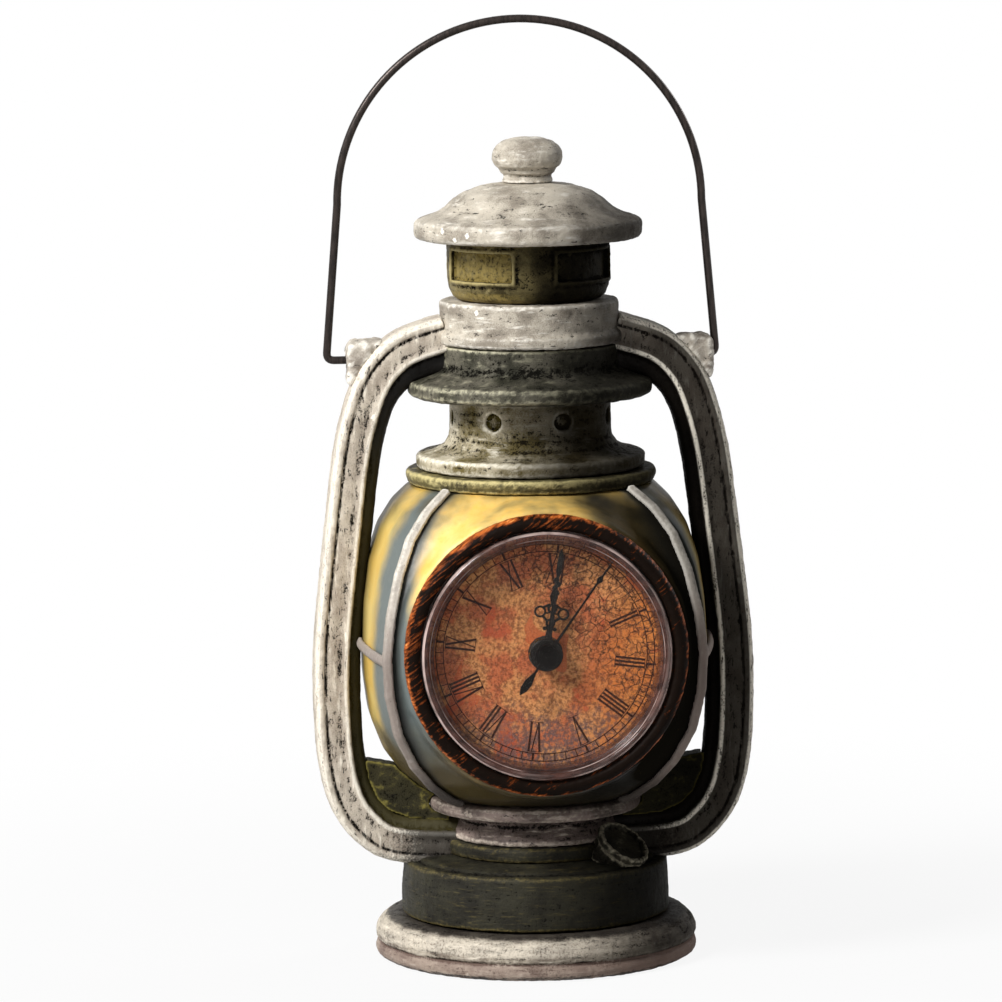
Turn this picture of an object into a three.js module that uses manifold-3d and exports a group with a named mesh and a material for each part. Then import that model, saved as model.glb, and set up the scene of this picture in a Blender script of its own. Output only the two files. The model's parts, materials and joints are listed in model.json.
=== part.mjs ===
// Oil lamp table clock: a cast lantern ornament with a wire bail and a battery quartz clock in its globe.
// Millimetres, +Z up, front towards -Y. The origin is the middle of the flat underside.
import * as THREE from "three";
import { mergeVertices } from "three/addons/utils/BufferGeometryUtils.js";
import Module from "manifold-3d";

const wasm = await Module();
wasm.setup();

// Fits and counts shared by all pieces
const seatGap = 0.3; // between pieces that rest on each other
const glueGap = 0.15; // between pieces that are glued or pressed together
const overrun = 2; // how far a cut runs past the face that it opens
const roundSides = 26;
const midSides = 20;
const smallSides = 14;
const holeSides = 8;

// Clock insert. Its AA cell sets the size of the movement, the movement sets the plate behind the dial,
// and the plate sets the bezel, the lens and the dial.
const battery = { radius: 7.1, length: 50.5, nubRadius: 2.75, nubLength: 1.2, clearance: 0.55 };
const contact = { thickness: 0.6, width: 9, height: 11, clearance: 0.65 };
const pipes = { core: 0.6, minuteWall: 0.75, hourWall: 0.6, bushWall: 0.65 };
const arbor = { radius: 0.5, play: 0.3 };
const movement = {
  corner: 5,
  front: 1.4,
  wall: 1.2,
  trainRoom: 10.3,
  dividerThickness: 1.2,
  coverThickness: 1.2,
  bushReach: 2.2,
  postRadius: 0.8,
};
const nut = { wall: 0.8, thickness: 1.2, washerWidth: 1.4, washerThickness: 0.5 };
const plate = { margin: 0.37, thickness: 1.2 };
const bezel = { lip: 0.6, width: 4, height: 3.7, edge: 1.5, proud: 2.2 };
const lens = { rim: 1.6, frame: 2.9, thickness: 1.2, chamfer: 1.5, proud: 2.7 };
const dial = { thickness: 0.35, margin: 0.4, depth: 6.1, turnDeg: -7.5 };

// Globe: four bowed panes that meet at the corners, a little larger all round than the bezel
const globe = {
  sideMargin: 4.3,
  endMargin: 5.4,
  bow: 5.8,
  wall: 4,
  bossEdge: 1.1,
  bossFlare: 2.4,
  bossDepth: 12,
  handHoleMargin: 3,
  handHoleRound: 8,
};
const clockLevelShare = 0.52;

// Each row is a level's height, its corner and its bowed middle, as shares of the globe's height, corner
// and half width
const globeShares = [
  [0, 0.452, 0.567],
  [0.036, 0.589, 0.683],
  [0.089, 0.714, 0.798],
  [0.163, 0.829, 0.896],
  [0.269, 0.933, 0.967],
  [0.395, 0.987, 0.994],
  [0.512, 1, 1],
  [0.638, 0.972, 0.99],
  [0.765, 0.913, 0.958],
  [0.871, 0.831, 0.896],
  [0.945, 0.723, 0.813],
  [1, 0.589, 0.712],
];
const paneSteps = 5;
const paneStepsInside = 3;

// Guard: a flat rib over each corner of the globe, with a short tie round the side pane to the tube
const rib = { width: 2.9, thickness: 1.5, tieWidth: 2.6, tieThickness: 1.3 };
const tieHeightShare = 0.5;

// Fuel tank: a low drum with a stepped shoulder and a spigot that fills the foot
const tank = {
  overhang: 8.4,
  taper: 0.7,
  wallHeight: 15.2,
  rimRound: 1.1,
  rimStep: 0.7,
  rimWidth: 2.4,
  shoulderRise: 1.9,
  spigotInset: 2.9,
  seatEdge: 0.4,
};

// Foot: a rolled ring with a groove between its band and its roll
const foot = {
  width: 10.7,
  height: 13,
  bandHeight: 4.6,
  bandRound: 3,
  grooveDepth: 1.1,
  grooveWidth: 0.9,
  shoulderEdge: 0.6,
};

// Burner: a dark collar and a silver cup whose lip carries the globe
const collar = { height: 4.3, edge: 0.8 };
const cup = {
  footInset: 1.5,
  waistInset: 4,
  waistHeight: 5.6,
  lipEdge: 2.7,
  lipReach: 4.8,
  lipRise: 2.6,
  lipThickness: 4.3,
  lipRound: 1.3,
};

// Chimney: gallery ring, then the bell that narrows to a neck with blind vents
const gallery = { edge: 0.7, height: 4.1, round: 1.2 };
const bell = {
  rimInset: 3.3,
  rimHeight: 4.2,
  rimRound: 1.2,
  neckRadius: 24.3,
  neckWall: 4.7,
  flareHeight: 4.6,
  height: 21.1,
  ventRadius: 2.7,
  ventDepth: 1.4,
  ventDrop: 5.7,
};
const ventCount = 7;
const ventTurnDeg = -32;

// Hood: a beaded ring on a recessed drum with a wide flange, the windowed drum, the cap and its knob
const hood = { beadWidth: 1.1, beadHeight: 3.8, beadRound: 1.2, radius: 27, height: 13, edge: 0.7 };
const flange = {
  width: 10.2,
  drumInset: 0.4,
  rimLow: 1.1,
  rimHeight: 4.6,
  undercut: 2.6,
  rise: 8.9,
  height: 15.8,
};
const drum = {
  inset: 2.7,
  footInset: 2.9,
  height: 17.5,
  roundHeight: 6.2,
  windowSill: 6.25,
  windowHead: 2.55,
  windowRound: 1.6,
  windowDepth: 0.9,
};
const windowCount = 4;
const windowSpanDeg = 60;
const knob = {
  neckRadius: 7.7,
  neckHeight: 2,
  beadWidth: 0.9,
  beadHeight: 2.2,
  radius: 10.7,
  widestHeight: 7,
  height: 13.3,
};
const cap = {
  overhang: 9.9,
  underRise: 1.2,
  rimHeight: 5,
  rimRound: 1.5,
  brimRise: 1.6,
  stepWidth: 0.9,
  stepRise: 0.6,
  domeWidth: 2.7,
  crownWidth: 0.5,
  height: 16.7,
};

// Side tubes: a grooved half round section along one bent line. Each row of shares is a place on that
// line, as shares of its way out from the hood to the tube's widest and of its height.
const tube = {
  globeGap: 8.4,
  embed: 2.2,
  lowRise: 2.3,
  highRise: 0.4,
  halfDepth: 8,
  outer: 6.2,
  facing: 5,
  inner: 8,
  innerHalf: 2.5,
  groove: 0.9,
  shoulder: 3,
};
const tubeShares = [
  [0, 1],
  [0.355, 0.979],
  [0.588, 0.935],
  [0.711, 0.87],
  [0.805, 0.776],
  [0.883, 0.636],
  [0.956, 0.492],
  [0.993, 0.392],
  [1, 0.29],
  [0.974, 0.185],
  [0.898, 0.104],
  [0.745, 0.047],
  [0.491, 0.012],
  [0.067, 0],
];
const tubeSteps = 16;
const web = { halfDepth: 4, topShare: 0.26 };

// Ears on the tube shoulders, bored for the bail
const ear = { inset: 5.9, width: 11.1, rise: 0.8, height: 16.3, halfDepth: 5.4, corner: 2.6 };

// Bail: a round arch of wire on two splayed legs, its ends turned in through the ears
const bail = {
  wireRadius: 1.2,
  play: 0.4,
  earGap: 4.15,
  pivotDrop: 5.4,
  legHeight: 46.6,
  legSpread: 3.95,
  bendRadius: 2.4,
  pinLength: 11,
  pinEndGap: 0.75,
  sidePlay: 2.4,
};
const archSteps = 16;
const bendSteps = 3;

// Filler: a short neck and its dished cap, tilted out of the tank's shoulder
const filler = {
  radius: 8.6,
  inset: 5.9,
  rise: 5.6,
  azimuthDeg: 48,
  tiltDeg: 39,
  neckInset: 0.9,
  neckLength: 10,
  capThickness: 2.6,
  dishInset: 1.6,
  dishDepth: 1.2,
};

// Radii that follow one another, from the clock outwards
const chamberHalf = battery.length / 2 + contact.clearance + contact.thickness + seatGap;
const caseHalf = chamberHalf + movement.wall;
const bayHeight = 2 * (battery.radius + battery.clearance);
const chamberLow = -movement.trainRoom;
const bayTop = chamberLow - movement.dividerThickness;
const bayLow = bayTop - bayHeight;
const caseLow = bayLow - movement.wall;
const caseReach = Math.max(caseHalf, -caseLow);
const plateRadius = Math.hypot(caseHalf, caseReach) - (Math.SQRT2 - 1) * movement.corner + plate.margin;
const bezelRadius = plateRadius + bezel.width;
const bezelBore = plateRadius - bezel.lip;
const lensRadius = bezelBore - seatGap;
const dialRadius = lensRadius - lens.rim - dial.margin;
const globeCorner = bezelRadius + globe.sideMargin;
const globeHalfWidth = globeCorner + globe.bow;
const globeHeight = 2 * (bezelRadius + globe.endMargin);
const globeFoot = globeHalfWidth * globeShares.at(0).at(-1);
const globeHead = globeHalfWidth * globeShares.at(-1).at(-1);
const cupLipRadius = globeFoot + cup.lipEdge;
const collarRadius = cupLipRadius - cup.lipReach;
const tankRadius = cupLipRadius + tank.overhang;
const galleryRadius = globeHead + gallery.edge;
const spigotRadius = tankRadius - tank.spigotInset;
const flangeRadius = hood.radius - flange.drumInset + flange.width;
const drumRadius = hood.radius - drum.inset;
const capRadius = drumRadius + cap.overhang;
const tubeIn = hood.radius - tube.embed;
const tubeOut = globeHalfWidth + tube.globeGap;
const earOut = tubeOut - ear.inset;
const bailFoot = earOut + bail.earGap;
const archRadius = bailFoot - bail.legSpread;

// Places along the clock's axis, forward of the lantern's centre line
const dialFace = globeHalfWidth - dial.depth;
const bezelFront = globeHalfWidth + bezel.proud;
const lensFront = globeHalfWidth + lens.proud;
const bossFront = bezelFront - bezel.height - seatGap;

// Bores of the nested pipes, from the second hand's arbor outwards
const minuteBore = pipes.core + seatGap;
const minuteOuter = minuteBore + pipes.minuteWall;
const hourBore = minuteOuter + seatGap;
const hourOuter = hourBore + pipes.hourWall;
const bushBore = hourOuter + seatGap;
const bushRadius = bushBore + pipes.bushWall;
const washerRadius = bushRadius + nut.washerWidth;
const pivotHole = arbor.radius + arbor.play;

// Levels of the stacked castings, each seated on the one below
const tankWallLow = foot.height + seatGap;
const tankWallTop = tankWallLow + tank.wallHeight;
const tankTop = tankWallTop + tank.rimRound + tank.shoulderRise;
const collarLow = tankTop + seatGap;
const cupLow = collarLow + collar.height + seatGap;
const lipLow = cupLow + cup.waistHeight + cup.lipRise;
const cupTop = lipLow + cup.lipThickness;
const globeLow = cupTop + seatGap;
const globeTop = globeLow + globeHeight;
const galleryLow = globeTop + seatGap;
const bellLow = galleryLow + gallery.height + seatGap;
const bellTop = bellLow + bell.height;
const flangeLow = bellTop + seatGap;
const hoodLow = flangeLow + flange.height + seatGap;
const hoodTop = hoodLow + hood.height;
const drumLow = hoodTop + seatGap;
const drumTop = drumLow + drum.height;
const capLow = drumTop + seatGap;
const knobLow = capLow + cap.height + seatGap;
const clockHeight = globeLow + clockLevelShare * globeHeight;
const tubeLow = tankTop + tube.lowRise;
const tubeHigh = hoodLow + tube.highRise;
const earHigh = hoodLow + ear.rise;
const earLow = earHigh - ear.height;
const pivotHeight = earHigh - bail.pivotDrop;
const archHeight = pivotHeight + bail.legHeight;
const quarterTurn = Math.PI / 2;
const fullTurn = Math.PI * 2;
const mergeDistance = 1e-4;

// A closed mesh as a solid that can be joined and cut
function solidOf(geometry) {
  const bare = geometry.clone();
  bare.deleteAttribute("normal");
  bare.deleteAttribute("uv");
  const merged = mergeVertices(bare, mergeDistance);
  const vertProperties = merged.attributes.position.array;
  const triVerts = new Uint32Array(merged.index.array);
  return new wasm.Manifold(new wasm.Mesh({ numProp: 3, vertProperties, triVerts }));
}

// A solid back as a mesh that three.js draws
function geometryOf(solid) {
  const mesh = solid.getMesh();
  const geometry = new THREE.BufferGeometry();
  geometry.setAttribute("position", new THREE.BufferAttribute(mesh.vertProperties, 3));
  geometry.setIndex(new THREE.BufferAttribute(mesh.triVerts, 1));
  geometry.computeVertexNormals();
  return geometry;
}

function cut(geometry, ...tools) {
  const left = tools.reduce((solid, tool) => solid.subtract(solidOf(tool)), solidOf(geometry));
  return geometryOf(left);
}

function join(...geometries) {
  const [first, ...others] = geometries.map(solidOf);
  return geometryOf(others.reduce((solid, other) => solid.add(other), first));
}

function common(geometry, other) {
  return geometryOf(solidOf(geometry).intersect(solidOf(other)));
}

// A profile of [radius, height] points turned round Z. It starts and ends on the axis, or closes on itself.
function turned(profile, sides = roundSides) {
  const points = profile.map(([radius, height]) => new THREE.Vector2(radius, height));
  return new THREE.LatheGeometry(points, sides).rotateX(quarterTurn);
}

// Points on a curve from start to end that is drawn towards a third point
function curved(start, towards, end, steps = 3) {
  const ends = [start, towards, end].map((place) => new THREE.Vector2(...place));
  return new THREE.QuadraticBezierCurve(...ends).getPoints(steps).map(({ x, y }) => [x, y]);
}

// A profile moved outwards by a clearance, square to each of its edges
function grown(profile, gap) {
  const outward = profile.slice(1).map(([radius, height], i) => {
    const [radiusBefore, heightBefore] = profile[i];
    const run = new THREE.Vector2(radius - radiusBefore, height - heightBefore).normalize();
    return new THREE.Vector2(run.y, -run.x);
  });
  return profile.map(([radius, height], i) => {
    const before = outward[Math.max(i - 1, 0)];
    const after = outward[Math.min(i, outward.length - 1)];
    const move = before.clone().add(after).multiplyScalar(gap / (1 + before.dot(after)));
    return [radius > 0 ? radius + move.x : 0, height + move.y];
  });
}

// A polygon with equal sides round the origin
function roundShape(radius, sides) {
  const corners = Array.from({ length: sides }, (_, i) => {
    const angle = (i * fullTurn) / sides;
    return new THREE.Vector2(radius * Math.cos(angle), radius * Math.sin(angle));
  });
  return new THREE.Shape(corners);
}

// A rectangle with rounded corners, centred on x and y
function roundedRectangle(width, height, corner, x = 0, y = 0) {
  const right = x + width / 2;
  const left = x - width / 2;
  const top = y + height / 2;
  const low = y - height / 2;
  const shape = new THREE.Shape();
  shape.moveTo(left + corner, low);
  shape.lineTo(right - corner, low);
  shape.absarc(right - corner, low + corner, corner, -quarterTurn, 0);
  shape.lineTo(right, top - corner);
  shape.absarc(right - corner, top - corner, corner, 0, quarterTurn);
  shape.lineTo(left + corner, top);
  shape.absarc(left + corner, top - corner, corner, quarterTurn, 2 * quarterTurn);
  shape.lineTo(left, low + corner);
  shape.absarc(left + corner, low + corner, corner, 2 * quarterTurn, 3 * quarterTurn);
  return shape;
}

// A shape drawn out along Z from one level to another
function drawnOut(shape, low, high, curveSegments = 2) {
  const options = { depth: high - low, bevelEnabled: false, curveSegments };
  return new THREE.ExtrudeGeometry(shape, options).translate(0, 0, low);
}

// A round bar along Z
function bar(radius, low, high, sides = smallSides) {
  return drawnOut(roundShape(radius, sides), low, high);
}

// A path through given stations, with one step of an extrusion at each
class StationPath extends THREE.Curve {
  constructor(stations) {
    super();
    this.stations = stations;
  }

  getUtoTmapping(share) {
    return share;
  }

  getPoint(share, target = new THREE.Vector3()) {
    const last = this.stations.length - 1;
    const place = share * last;
    const index = Math.min(Math.floor(place), last - 1);
    return target.lerpVectors(this.stations[index], this.stations[index + 1], place - index);
  }

  getTangent(share, target = new THREE.Vector3()) {
    const last = this.stations.length - 1;
    const index = Math.round(share * last);
    const before = this.stations[Math.max(index - 1, 0)];
    const after = this.stations[Math.min(index + 1, last)];
    return target.subVectors(after, before).normalize();
  }
}

// A section swept along stations in an upright or level plane. In an upright plane the section's x
// points to the front and its y to the left of the way the stations run, seen from the front.
function swept(section, stations) {
  const path = new StationPath(stations);
  return new THREE.ExtrudeGeometry(section, { steps: stations.length - 1, extrudePath: path });
}

// Rings of points, counterclockwise from above, skinned from the lowest to the highest and closed flat
function skinned(rings) {
  const count = rings[0].length;
  const index = [];
  for (let level = 0; level + 1 < rings.length; level += 1) {
    for (let i = 0; i < count; i += 1) {
      const a = level * count + i;
      const b = level * count + ((i + 1) % count);
      index.push(a, b, b + count, a, b + count, a + count);
    }
  }
  const top = (rings.length - 1) * count;
  for (let i = 1; i + 1 < count; i += 1) {
    index.push(0, i + 1, i);
    index.push(top, top + i, top + i + 1);
  }
  const geometry = new THREE.BufferGeometry();
  geometry.setAttribute("position", new THREE.Float32BufferAttribute(rings.flat(2), 3));
  geometry.setIndex(index);
  geometry.computeVertexNormals();
  return geometry;
}

// Something made round Z in the clock's own frame, turned to face forward at the clock's height
function faced(geometry) {
  return geometry.rotateX(quarterTurn).translate(0, 0, clockHeight);
}

// Foot
function makeFoot() {
  const inner = spigotRadius + seatGap;
  const outer = inner + foot.width;
  const groove = outer - foot.grooveDepth;
  const bandTop = foot.bandHeight;
  const grooveTop = bandTop + foot.grooveWidth;
  const shoulder = tankRadius + foot.shoulderEdge;
  return turned([
    [inner, 0],
    [outer - foot.bandRound, 0],
    ...curved([groove, 0], [outer, 0], [outer, foot.bandRound], 2),
    [groove, bandTop],
    [groove, grooveTop],
    ...curved([outer, grooveTop], [outer, foot.height], [shoulder, foot.height]),
    [inner, foot.height],
    [inner, 0],
  ]);
}

// Fuel tank
function tankProfile() {
  const rimTop = tankWallTop + tank.rimRound;
  const top = tankRadius - tank.taper;
  const step = top - tank.rimRound - tank.rimWidth;
  return [
    [0, 0],
    [spigotRadius, 0],
    [spigotRadius, tankWallLow],
    [tankRadius, tankWallLow],
    [top, tankWallTop],
    [top - tank.rimRound, rimTop],
    [step, rimTop],
    [step - tank.rimStep, rimTop - tank.rimStep],
    [collarRadius + tank.seatEdge, tankTop],
    [0, tankTop],
  ];
}

// Burner collar and cup
function collarProfile() {
  const top = collarLow + collar.height;
  return [
    [0, collarLow],
    [collarRadius, collarLow],
    [collarRadius, top - collar.edge],
    [collarRadius - collar.edge, top],
    [0, top],
  ];
}

function cupProfile() {
  const waistTop = cupLow + cup.waistHeight;
  const waist = collarRadius - cup.waistInset;
  const lipEdge = cupLipRadius - cup.lipRound;
  return [
    [0, cupLow],
    [collarRadius - cup.footInset, cupLow],
    ...curved([waist, waistTop], [waist, lipLow], [lipEdge, lipLow], 2),
    [cupLipRadius, lipLow + cup.lipRound],
    [cupLipRadius, cupTop - cup.lipRound],
    [lipEdge, cupTop],
    [0, cupTop],
  ];
}

// One pane's arc in plan, from corner to corner, for the pane that faces +X
function paneArc(corner, middle, steps) {
  const rise = middle - corner;
  const radius = (corner * corner + rise * rise) / (2 * rise);
  const half = Math.asin(corner / radius);
  return Array.from({ length: steps + 1 }, (_, i) => {
    const angle = half * ((2 * i) / steps - 1);
    return [middle - radius + radius * Math.cos(angle), radius * Math.sin(angle)];
  });
}

// The globe's outline at one level: four pane arcs, each turned a quarter on from the one before
function globeRing(corner, middle, height, steps) {
  const arc = paneArc(corner, middle, steps).slice(0, -1);
  const turns = [0, 1, 2, 3].map((quarter) => quarter * quarterTurn);
  return turns.flatMap((turn) =>
    arc.map(([x, y]) => {
      const across = x * Math.cos(turn) - y * Math.sin(turn);
      const along = x * Math.sin(turn) + y * Math.cos(turn);
      return [across, along, height];
    }),
  );
}

// The globe's full form, moved outwards by a clearance or inwards by a wall
function globeForm(gap, steps = paneSteps) {
  const rings = globeShares.map(([level, cornerShare, middleShare]) => {
    const height = globeLow - gap + level * (globeHeight + 2 * gap);
    return globeRing(globeCorner * cornerShare + gap, globeHalfWidth * middleShare + gap, height, steps);
  });
  return skinned(rings);
}

// A corner and a bowed middle at any level, between the rows of shares
function globeAt(level) {
  const above = globeShares.findIndex(([share]) => share >= level);
  const [lowShare, lowCorner, lowMiddle] = globeShares[Math.max(above - 1, 0)];
  const [highShare, highCorner, highMiddle] = globeShares[Math.max(above, 1)];
  const share = (level - lowShare) / (highShare - lowShare);
  return {
    corner: globeCorner * THREE.MathUtils.lerp(lowCorner, highCorner, share),
    middle: globeHalfWidth * THREE.MathUtils.lerp(lowMiddle, highMiddle, share),
  };
}

// Globe: a hollow form with a flat boss, the clock's bore in front and a hand hole behind
function makeGlobe() {
  const bossBack = bossFront - globe.bossDepth;
  const boss = faced(
    turned([
      [0, bossBack],
      [bezelRadius + globe.bossEdge + globe.bossFlare, bossBack],
      [bezelRadius + globe.bossEdge, bossFront],
      [0, bossFront],
    ]),
  );
  const bore = faced(bar(plateRadius + seatGap, bossBack - globe.bossDepth, bossFront + overrun, roundSides));
  const width = 2 * (caseReach + globe.handHoleMargin);
  const opening = roundedRectangle(width, width, globe.handHoleRound);
  const rear = faced(drawnOut(opening, -globeHalfWidth - overrun, -globeHalfWidth / 2, 3));
  return cut(join(globeForm(0), boss), globeForm(-globe.wall, paneStepsInside), bore, rear);
}

// Guard rib over the front right corner of the globe, with its tie round the pane towards the tube
function makeRib() {
  const first = globeShares[0].map((share, i) => (share + globeShares[1][i]) / 2);
  const rows = [first, ...globeShares.slice(1)];
  const stations = rows.map(([level, cornerShare]) => {
    const out = globeCorner * cornerShare * Math.SQRT2;
    return new THREE.Vector3(out, 0, globeLow + level * globeHeight);
  });
  const upright = swept(roundedStrap(rib.width, rib.thickness, seatGap), stations).rotateZ(-quarterTurn / 2);
  const { corner, middle } = globeAt(tieHeightShare);
  const tieHeight = globeLow + tieHeightShare * globeHeight;
  const arc = paneArc(corner, middle, 2 * paneSteps).slice(0, paneSteps + 1).reverse();
  const tieStations = arc.map(([x, y]) => new THREE.Vector3(x, y, tieHeight));
  const strap = swept(roundedStrap(rib.tieWidth, rib.tieThickness, seatGap), tieStations);
  return join(upright, cut(strap, tubeForm(seatGap)));
}

// A flat strap's section, lying off the line it follows by a gap
function roundedStrap(width, thickness, gap) {
  const half = width / 2;
  const edge = thickness / 2;
  const shape = new THREE.Shape();
  shape.moveTo(-half, gap);
  shape.lineTo(half, gap);
  shape.lineTo(half, gap + edge);
  shape.lineTo(0, gap + thickness);
  shape.lineTo(-half, gap + edge);
  return shape;
}

// Gallery ring over the globe
function makeGallery() {
  const top = galleryLow + gallery.height;
  return turned([
    [0, galleryLow],
    [galleryRadius - gallery.round, galleryLow],
    [galleryRadius, galleryLow + gallery.round],
    [galleryRadius, top - gallery.round],
    [galleryRadius - gallery.round, top],
    [0, top],
  ]);
}

// Chimney bell: a hollow neck on a flared rim, ringed by blind round vents
function makeBell() {
  const rimTop = bellLow + bell.rimHeight;
  const neckLow = rimTop + bell.flareHeight;
  const rim = galleryRadius - bell.rimInset;
  const rimEdge = rim - bell.rimRound;
  const bore = bell.neckRadius - bell.neckWall;
  const body = turned([
    [bore, bellLow],
    [rimEdge, bellLow],
    [rim, bellLow + bell.rimRound],
    [rim, rimTop - bell.rimRound],
    ...curved([rimEdge, rimTop], [bell.neckRadius, rimTop], [bell.neckRadius, neckLow]),
    [bell.neckRadius, bellTop],
    [bore, bellTop],
    [bore, bellLow],
  ], midSides);
  const vents = Array.from({ length: ventCount }, (_, i) => {
    const turn = THREE.MathUtils.degToRad(ventTurnDeg) + (i * fullTurn) / ventCount;
    const vent = bar(bell.ventRadius, bell.neckRadius - bell.ventDepth, bell.neckRadius + overrun, holeSides);
    return vent.rotateX(quarterTurn).rotateZ(turn).translate(0, 0, bellTop - bell.ventDrop);
  });
  return cut(body, ...vents);
}

// Hood flange with its recessed drum
function flangeProfile() {
  const rimLow = flangeLow + flange.rimLow;
  const rimTop = rimLow + flange.rimHeight;
  const slopeTop = flangeLow + flange.rise - flange.rimLow;
  const inner = hood.radius - flange.drumInset;
  const top = flangeLow + flange.height;
  return [
    [0, flangeLow],
    [flangeRadius - flange.undercut, flangeLow],
    [flangeRadius, rimLow + flange.rimLow],
    [flangeRadius, rimTop - flange.rimLow],
    [flangeRadius - flange.rimLow, rimTop],
    ...curved([inner + flange.undercut, slopeTop], [inner, slopeTop], [inner, slopeTop + flange.rimLow], 2),
    [inner, top],
    [0, top],
  ];
}

// Hood ring with a bead round its foot
function hoodProfile() {
  const bead = hood.radius + hood.beadWidth;
  const beadTop = hoodLow + hood.beadHeight;
  return [
    [0, hoodLow],
    [bead - hood.beadRound, hoodLow],
    [bead, hoodLow + hood.beadRound],
    [bead, beadTop - hood.beadRound],
    [hood.radius, beadTop],
    [hood.radius, hoodTop - hood.edge],
    [hood.radius - hood.edge, hoodTop],
    [0, hoodTop],
  ];
}

// Windowed drum: four sunk panels with rounded corners
function makeDrum() {
  const roundTop = drumLow + drum.roundHeight;
  const footRadius = drumRadius - drum.footInset;
  const seat = drumLow + glueGap;
  const body = turned(
    [
      [0, drumLow],
      [footRadius, drumLow],
      ...curved([footRadius, seat], [drumRadius, seat], [drumRadius, roundTop]),
      [drumRadius, drumTop],
      [0, drumTop],
    ],
    midSides,
  );
  const floor = drumRadius - drum.windowDepth;
  const low = drumLow + drum.windowSill;
  const high = drumTop - drum.windowHead;
  const sunk = turned(
    [
      [floor, low],
      [drumRadius + overrun, low],
      [drumRadius + overrun, high],
      [floor, high],
      [floor, low],
    ],
    midSides,
  );
  const span = 2 * drumRadius * Math.sin(THREE.MathUtils.degToRad(windowSpanDeg / 2));
  const panel = roundedRectangle(span, high - low + 2 * glueGap, drum.windowRound, 0, (low + high) / 2);
  const windows = Array.from({ length: windowCount }, (_, i) => {
    const prism = drawnOut(panel, 0, drumRadius + 2 * overrun).rotateX(quarterTurn);
    const turn = ((i + 1 / 2) * fullTurn) / windowCount;
    return common(sunk, prism.rotateZ(turn));
  });
  return cut(body, ...windows);
}

// Cap: a rolled brim, a stepped dome and a crown under the knob
function makeCap() {
  const rimLow = capLow + cap.underRise;
  const rimTop = rimLow + cap.rimHeight;
  const stepLow = rimTop + cap.brimRise;
  const stepTop = stepLow + cap.stepRise;
  const top = capLow + cap.height;
  const step = drumRadius + cap.stepWidth;
  const crown = knob.neckRadius + cap.crownWidth;
  const domeStart = [step - cap.stepRise, stepTop];
  return turned([
    [0, capLow],
    [drumRadius + seatGap, capLow],
    [capRadius - cap.rimRound, rimLow],
    [capRadius, rimLow + cap.rimRound],
    [capRadius, rimTop - cap.rimRound],
    [capRadius - cap.rimRound, rimTop],
    [step + cap.stepRise, stepLow],
    [step, stepTop],
    ...curved(domeStart, [crown + cap.domeWidth, top], [crown, top], 4),
    [0, top],
  ]);
}

// Knob: a beaded neck under a flattened ball
function makeKnob() {
  const neckTop = knobLow + knob.neckHeight;
  const beadTop = neckTop + knob.beadHeight;
  const bead = knob.neckRadius + knob.beadWidth;
  const widest = knobLow + knob.widestHeight;
  const top = knobLow + knob.height;
  return turned(
    [
      [0, knobLow],
      [knob.neckRadius, knobLow],
      [knob.neckRadius, neckTop],
      [bead, (neckTop + beadTop) / 2],
      ...curved([bead, beadTop], [knob.radius, beadTop], [knob.radius, widest], 2),
      ...curved([knob.radius, widest], [knob.radius, top], [0, top], 4).slice(1),
    ],
    smallSides,
  );
}

// The side tube's section: x to the front, y towards the globe
function tubeSection(gap) {
  const front = tube.halfDepth + gap;
  const groove = front - tube.groove;
  const low = -tube.outer - gap;
  const high = tube.inner + gap;
  const face = tube.facing + gap;
  const frontHalf = [
    [front - tube.shoulder, low],
    [front, low + tube.shoulder / 2],
    [groove, low + tube.shoulder],
    [front, low + tube.shoulder * 2],
    [front, face - tube.shoulder / 2],
    [front - tube.shoulder / 2, face],
    [tube.innerHalf, high],
  ];
  const backHalf = frontHalf.map(([x, y]) => [-x, y]).reverse();
  return new THREE.Shape([...frontHalf, ...backHalf].map(([x, y]) => new THREE.Vector2(x, y)));
}

function tubeLine() {
  return tubeShares.map(([outShare, riseShare]) => {
    const x = THREE.MathUtils.lerp(tubeIn, tubeOut, outShare);
    return new THREE.Vector3(x, 0, THREE.MathUtils.lerp(tubeLow, tubeHigh, riseShare));
  });
}

function tubeStations() {
  return new THREE.CatmullRomCurve3(tubeLine()).getPoints(tubeSteps);
}

function tubeForm(gap) {
  return swept(tubeSection(gap), tubeStations());
}

// The hole for the bail's pin, through the ear and on into the tube
function pinHole() {
  const start = bailFoot - bail.pinLength - bail.sidePlay - bail.pinEndGap;
  const hole = bar(bail.wireRadius + bail.play, start, earOut + overrun, holeSides);
  return hole.rotateY(quarterTurn).translate(0, 0, pivotHeight);
}

// What the right tube's two ends fit round
function tubeNeighbours() {
  return [
    turned(grown(flangeProfile(), seatGap)),
    turned(grown(hoodProfile(), seatGap)),
    turned(grown(tankProfile(), seatGap)),
    turned(grown(collarProfile(), seatGap)),
    turned(grown(cupProfile(), seatGap)),
    globeForm(seatGap),
  ];
}

function makeTube() {
  return cut(tubeForm(0), ...tubeNeighbours(), pinHole());
}

// The web that fills the corner between the tube's lower bend and the globe
function makeWeb() {
  const limit = THREE.MathUtils.lerp(tubeLow, tubeHigh, web.topShare);
  const outerLine = tubeLine().filter(({ z }) => z < limit);
  const innerLine = globeShares
    .map(([level, , middleShare]) => ({
      x: globeHalfWidth * middleShare - globe.wall,
      z: globeLow + level * globeHeight,
    }))
    .filter(({ z }) => z < outerLine[0].z);
  const outline = [...outerLine, ...innerLine].map(({ x, z }) => new THREE.Vector2(x, z));
  const slab = drawnOut(new THREE.Shape(outline), -web.halfDepth, web.halfDepth).rotateX(quarterTurn);
  return cut(slab, ...tubeNeighbours(), tubeForm(seatGap));
}

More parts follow.
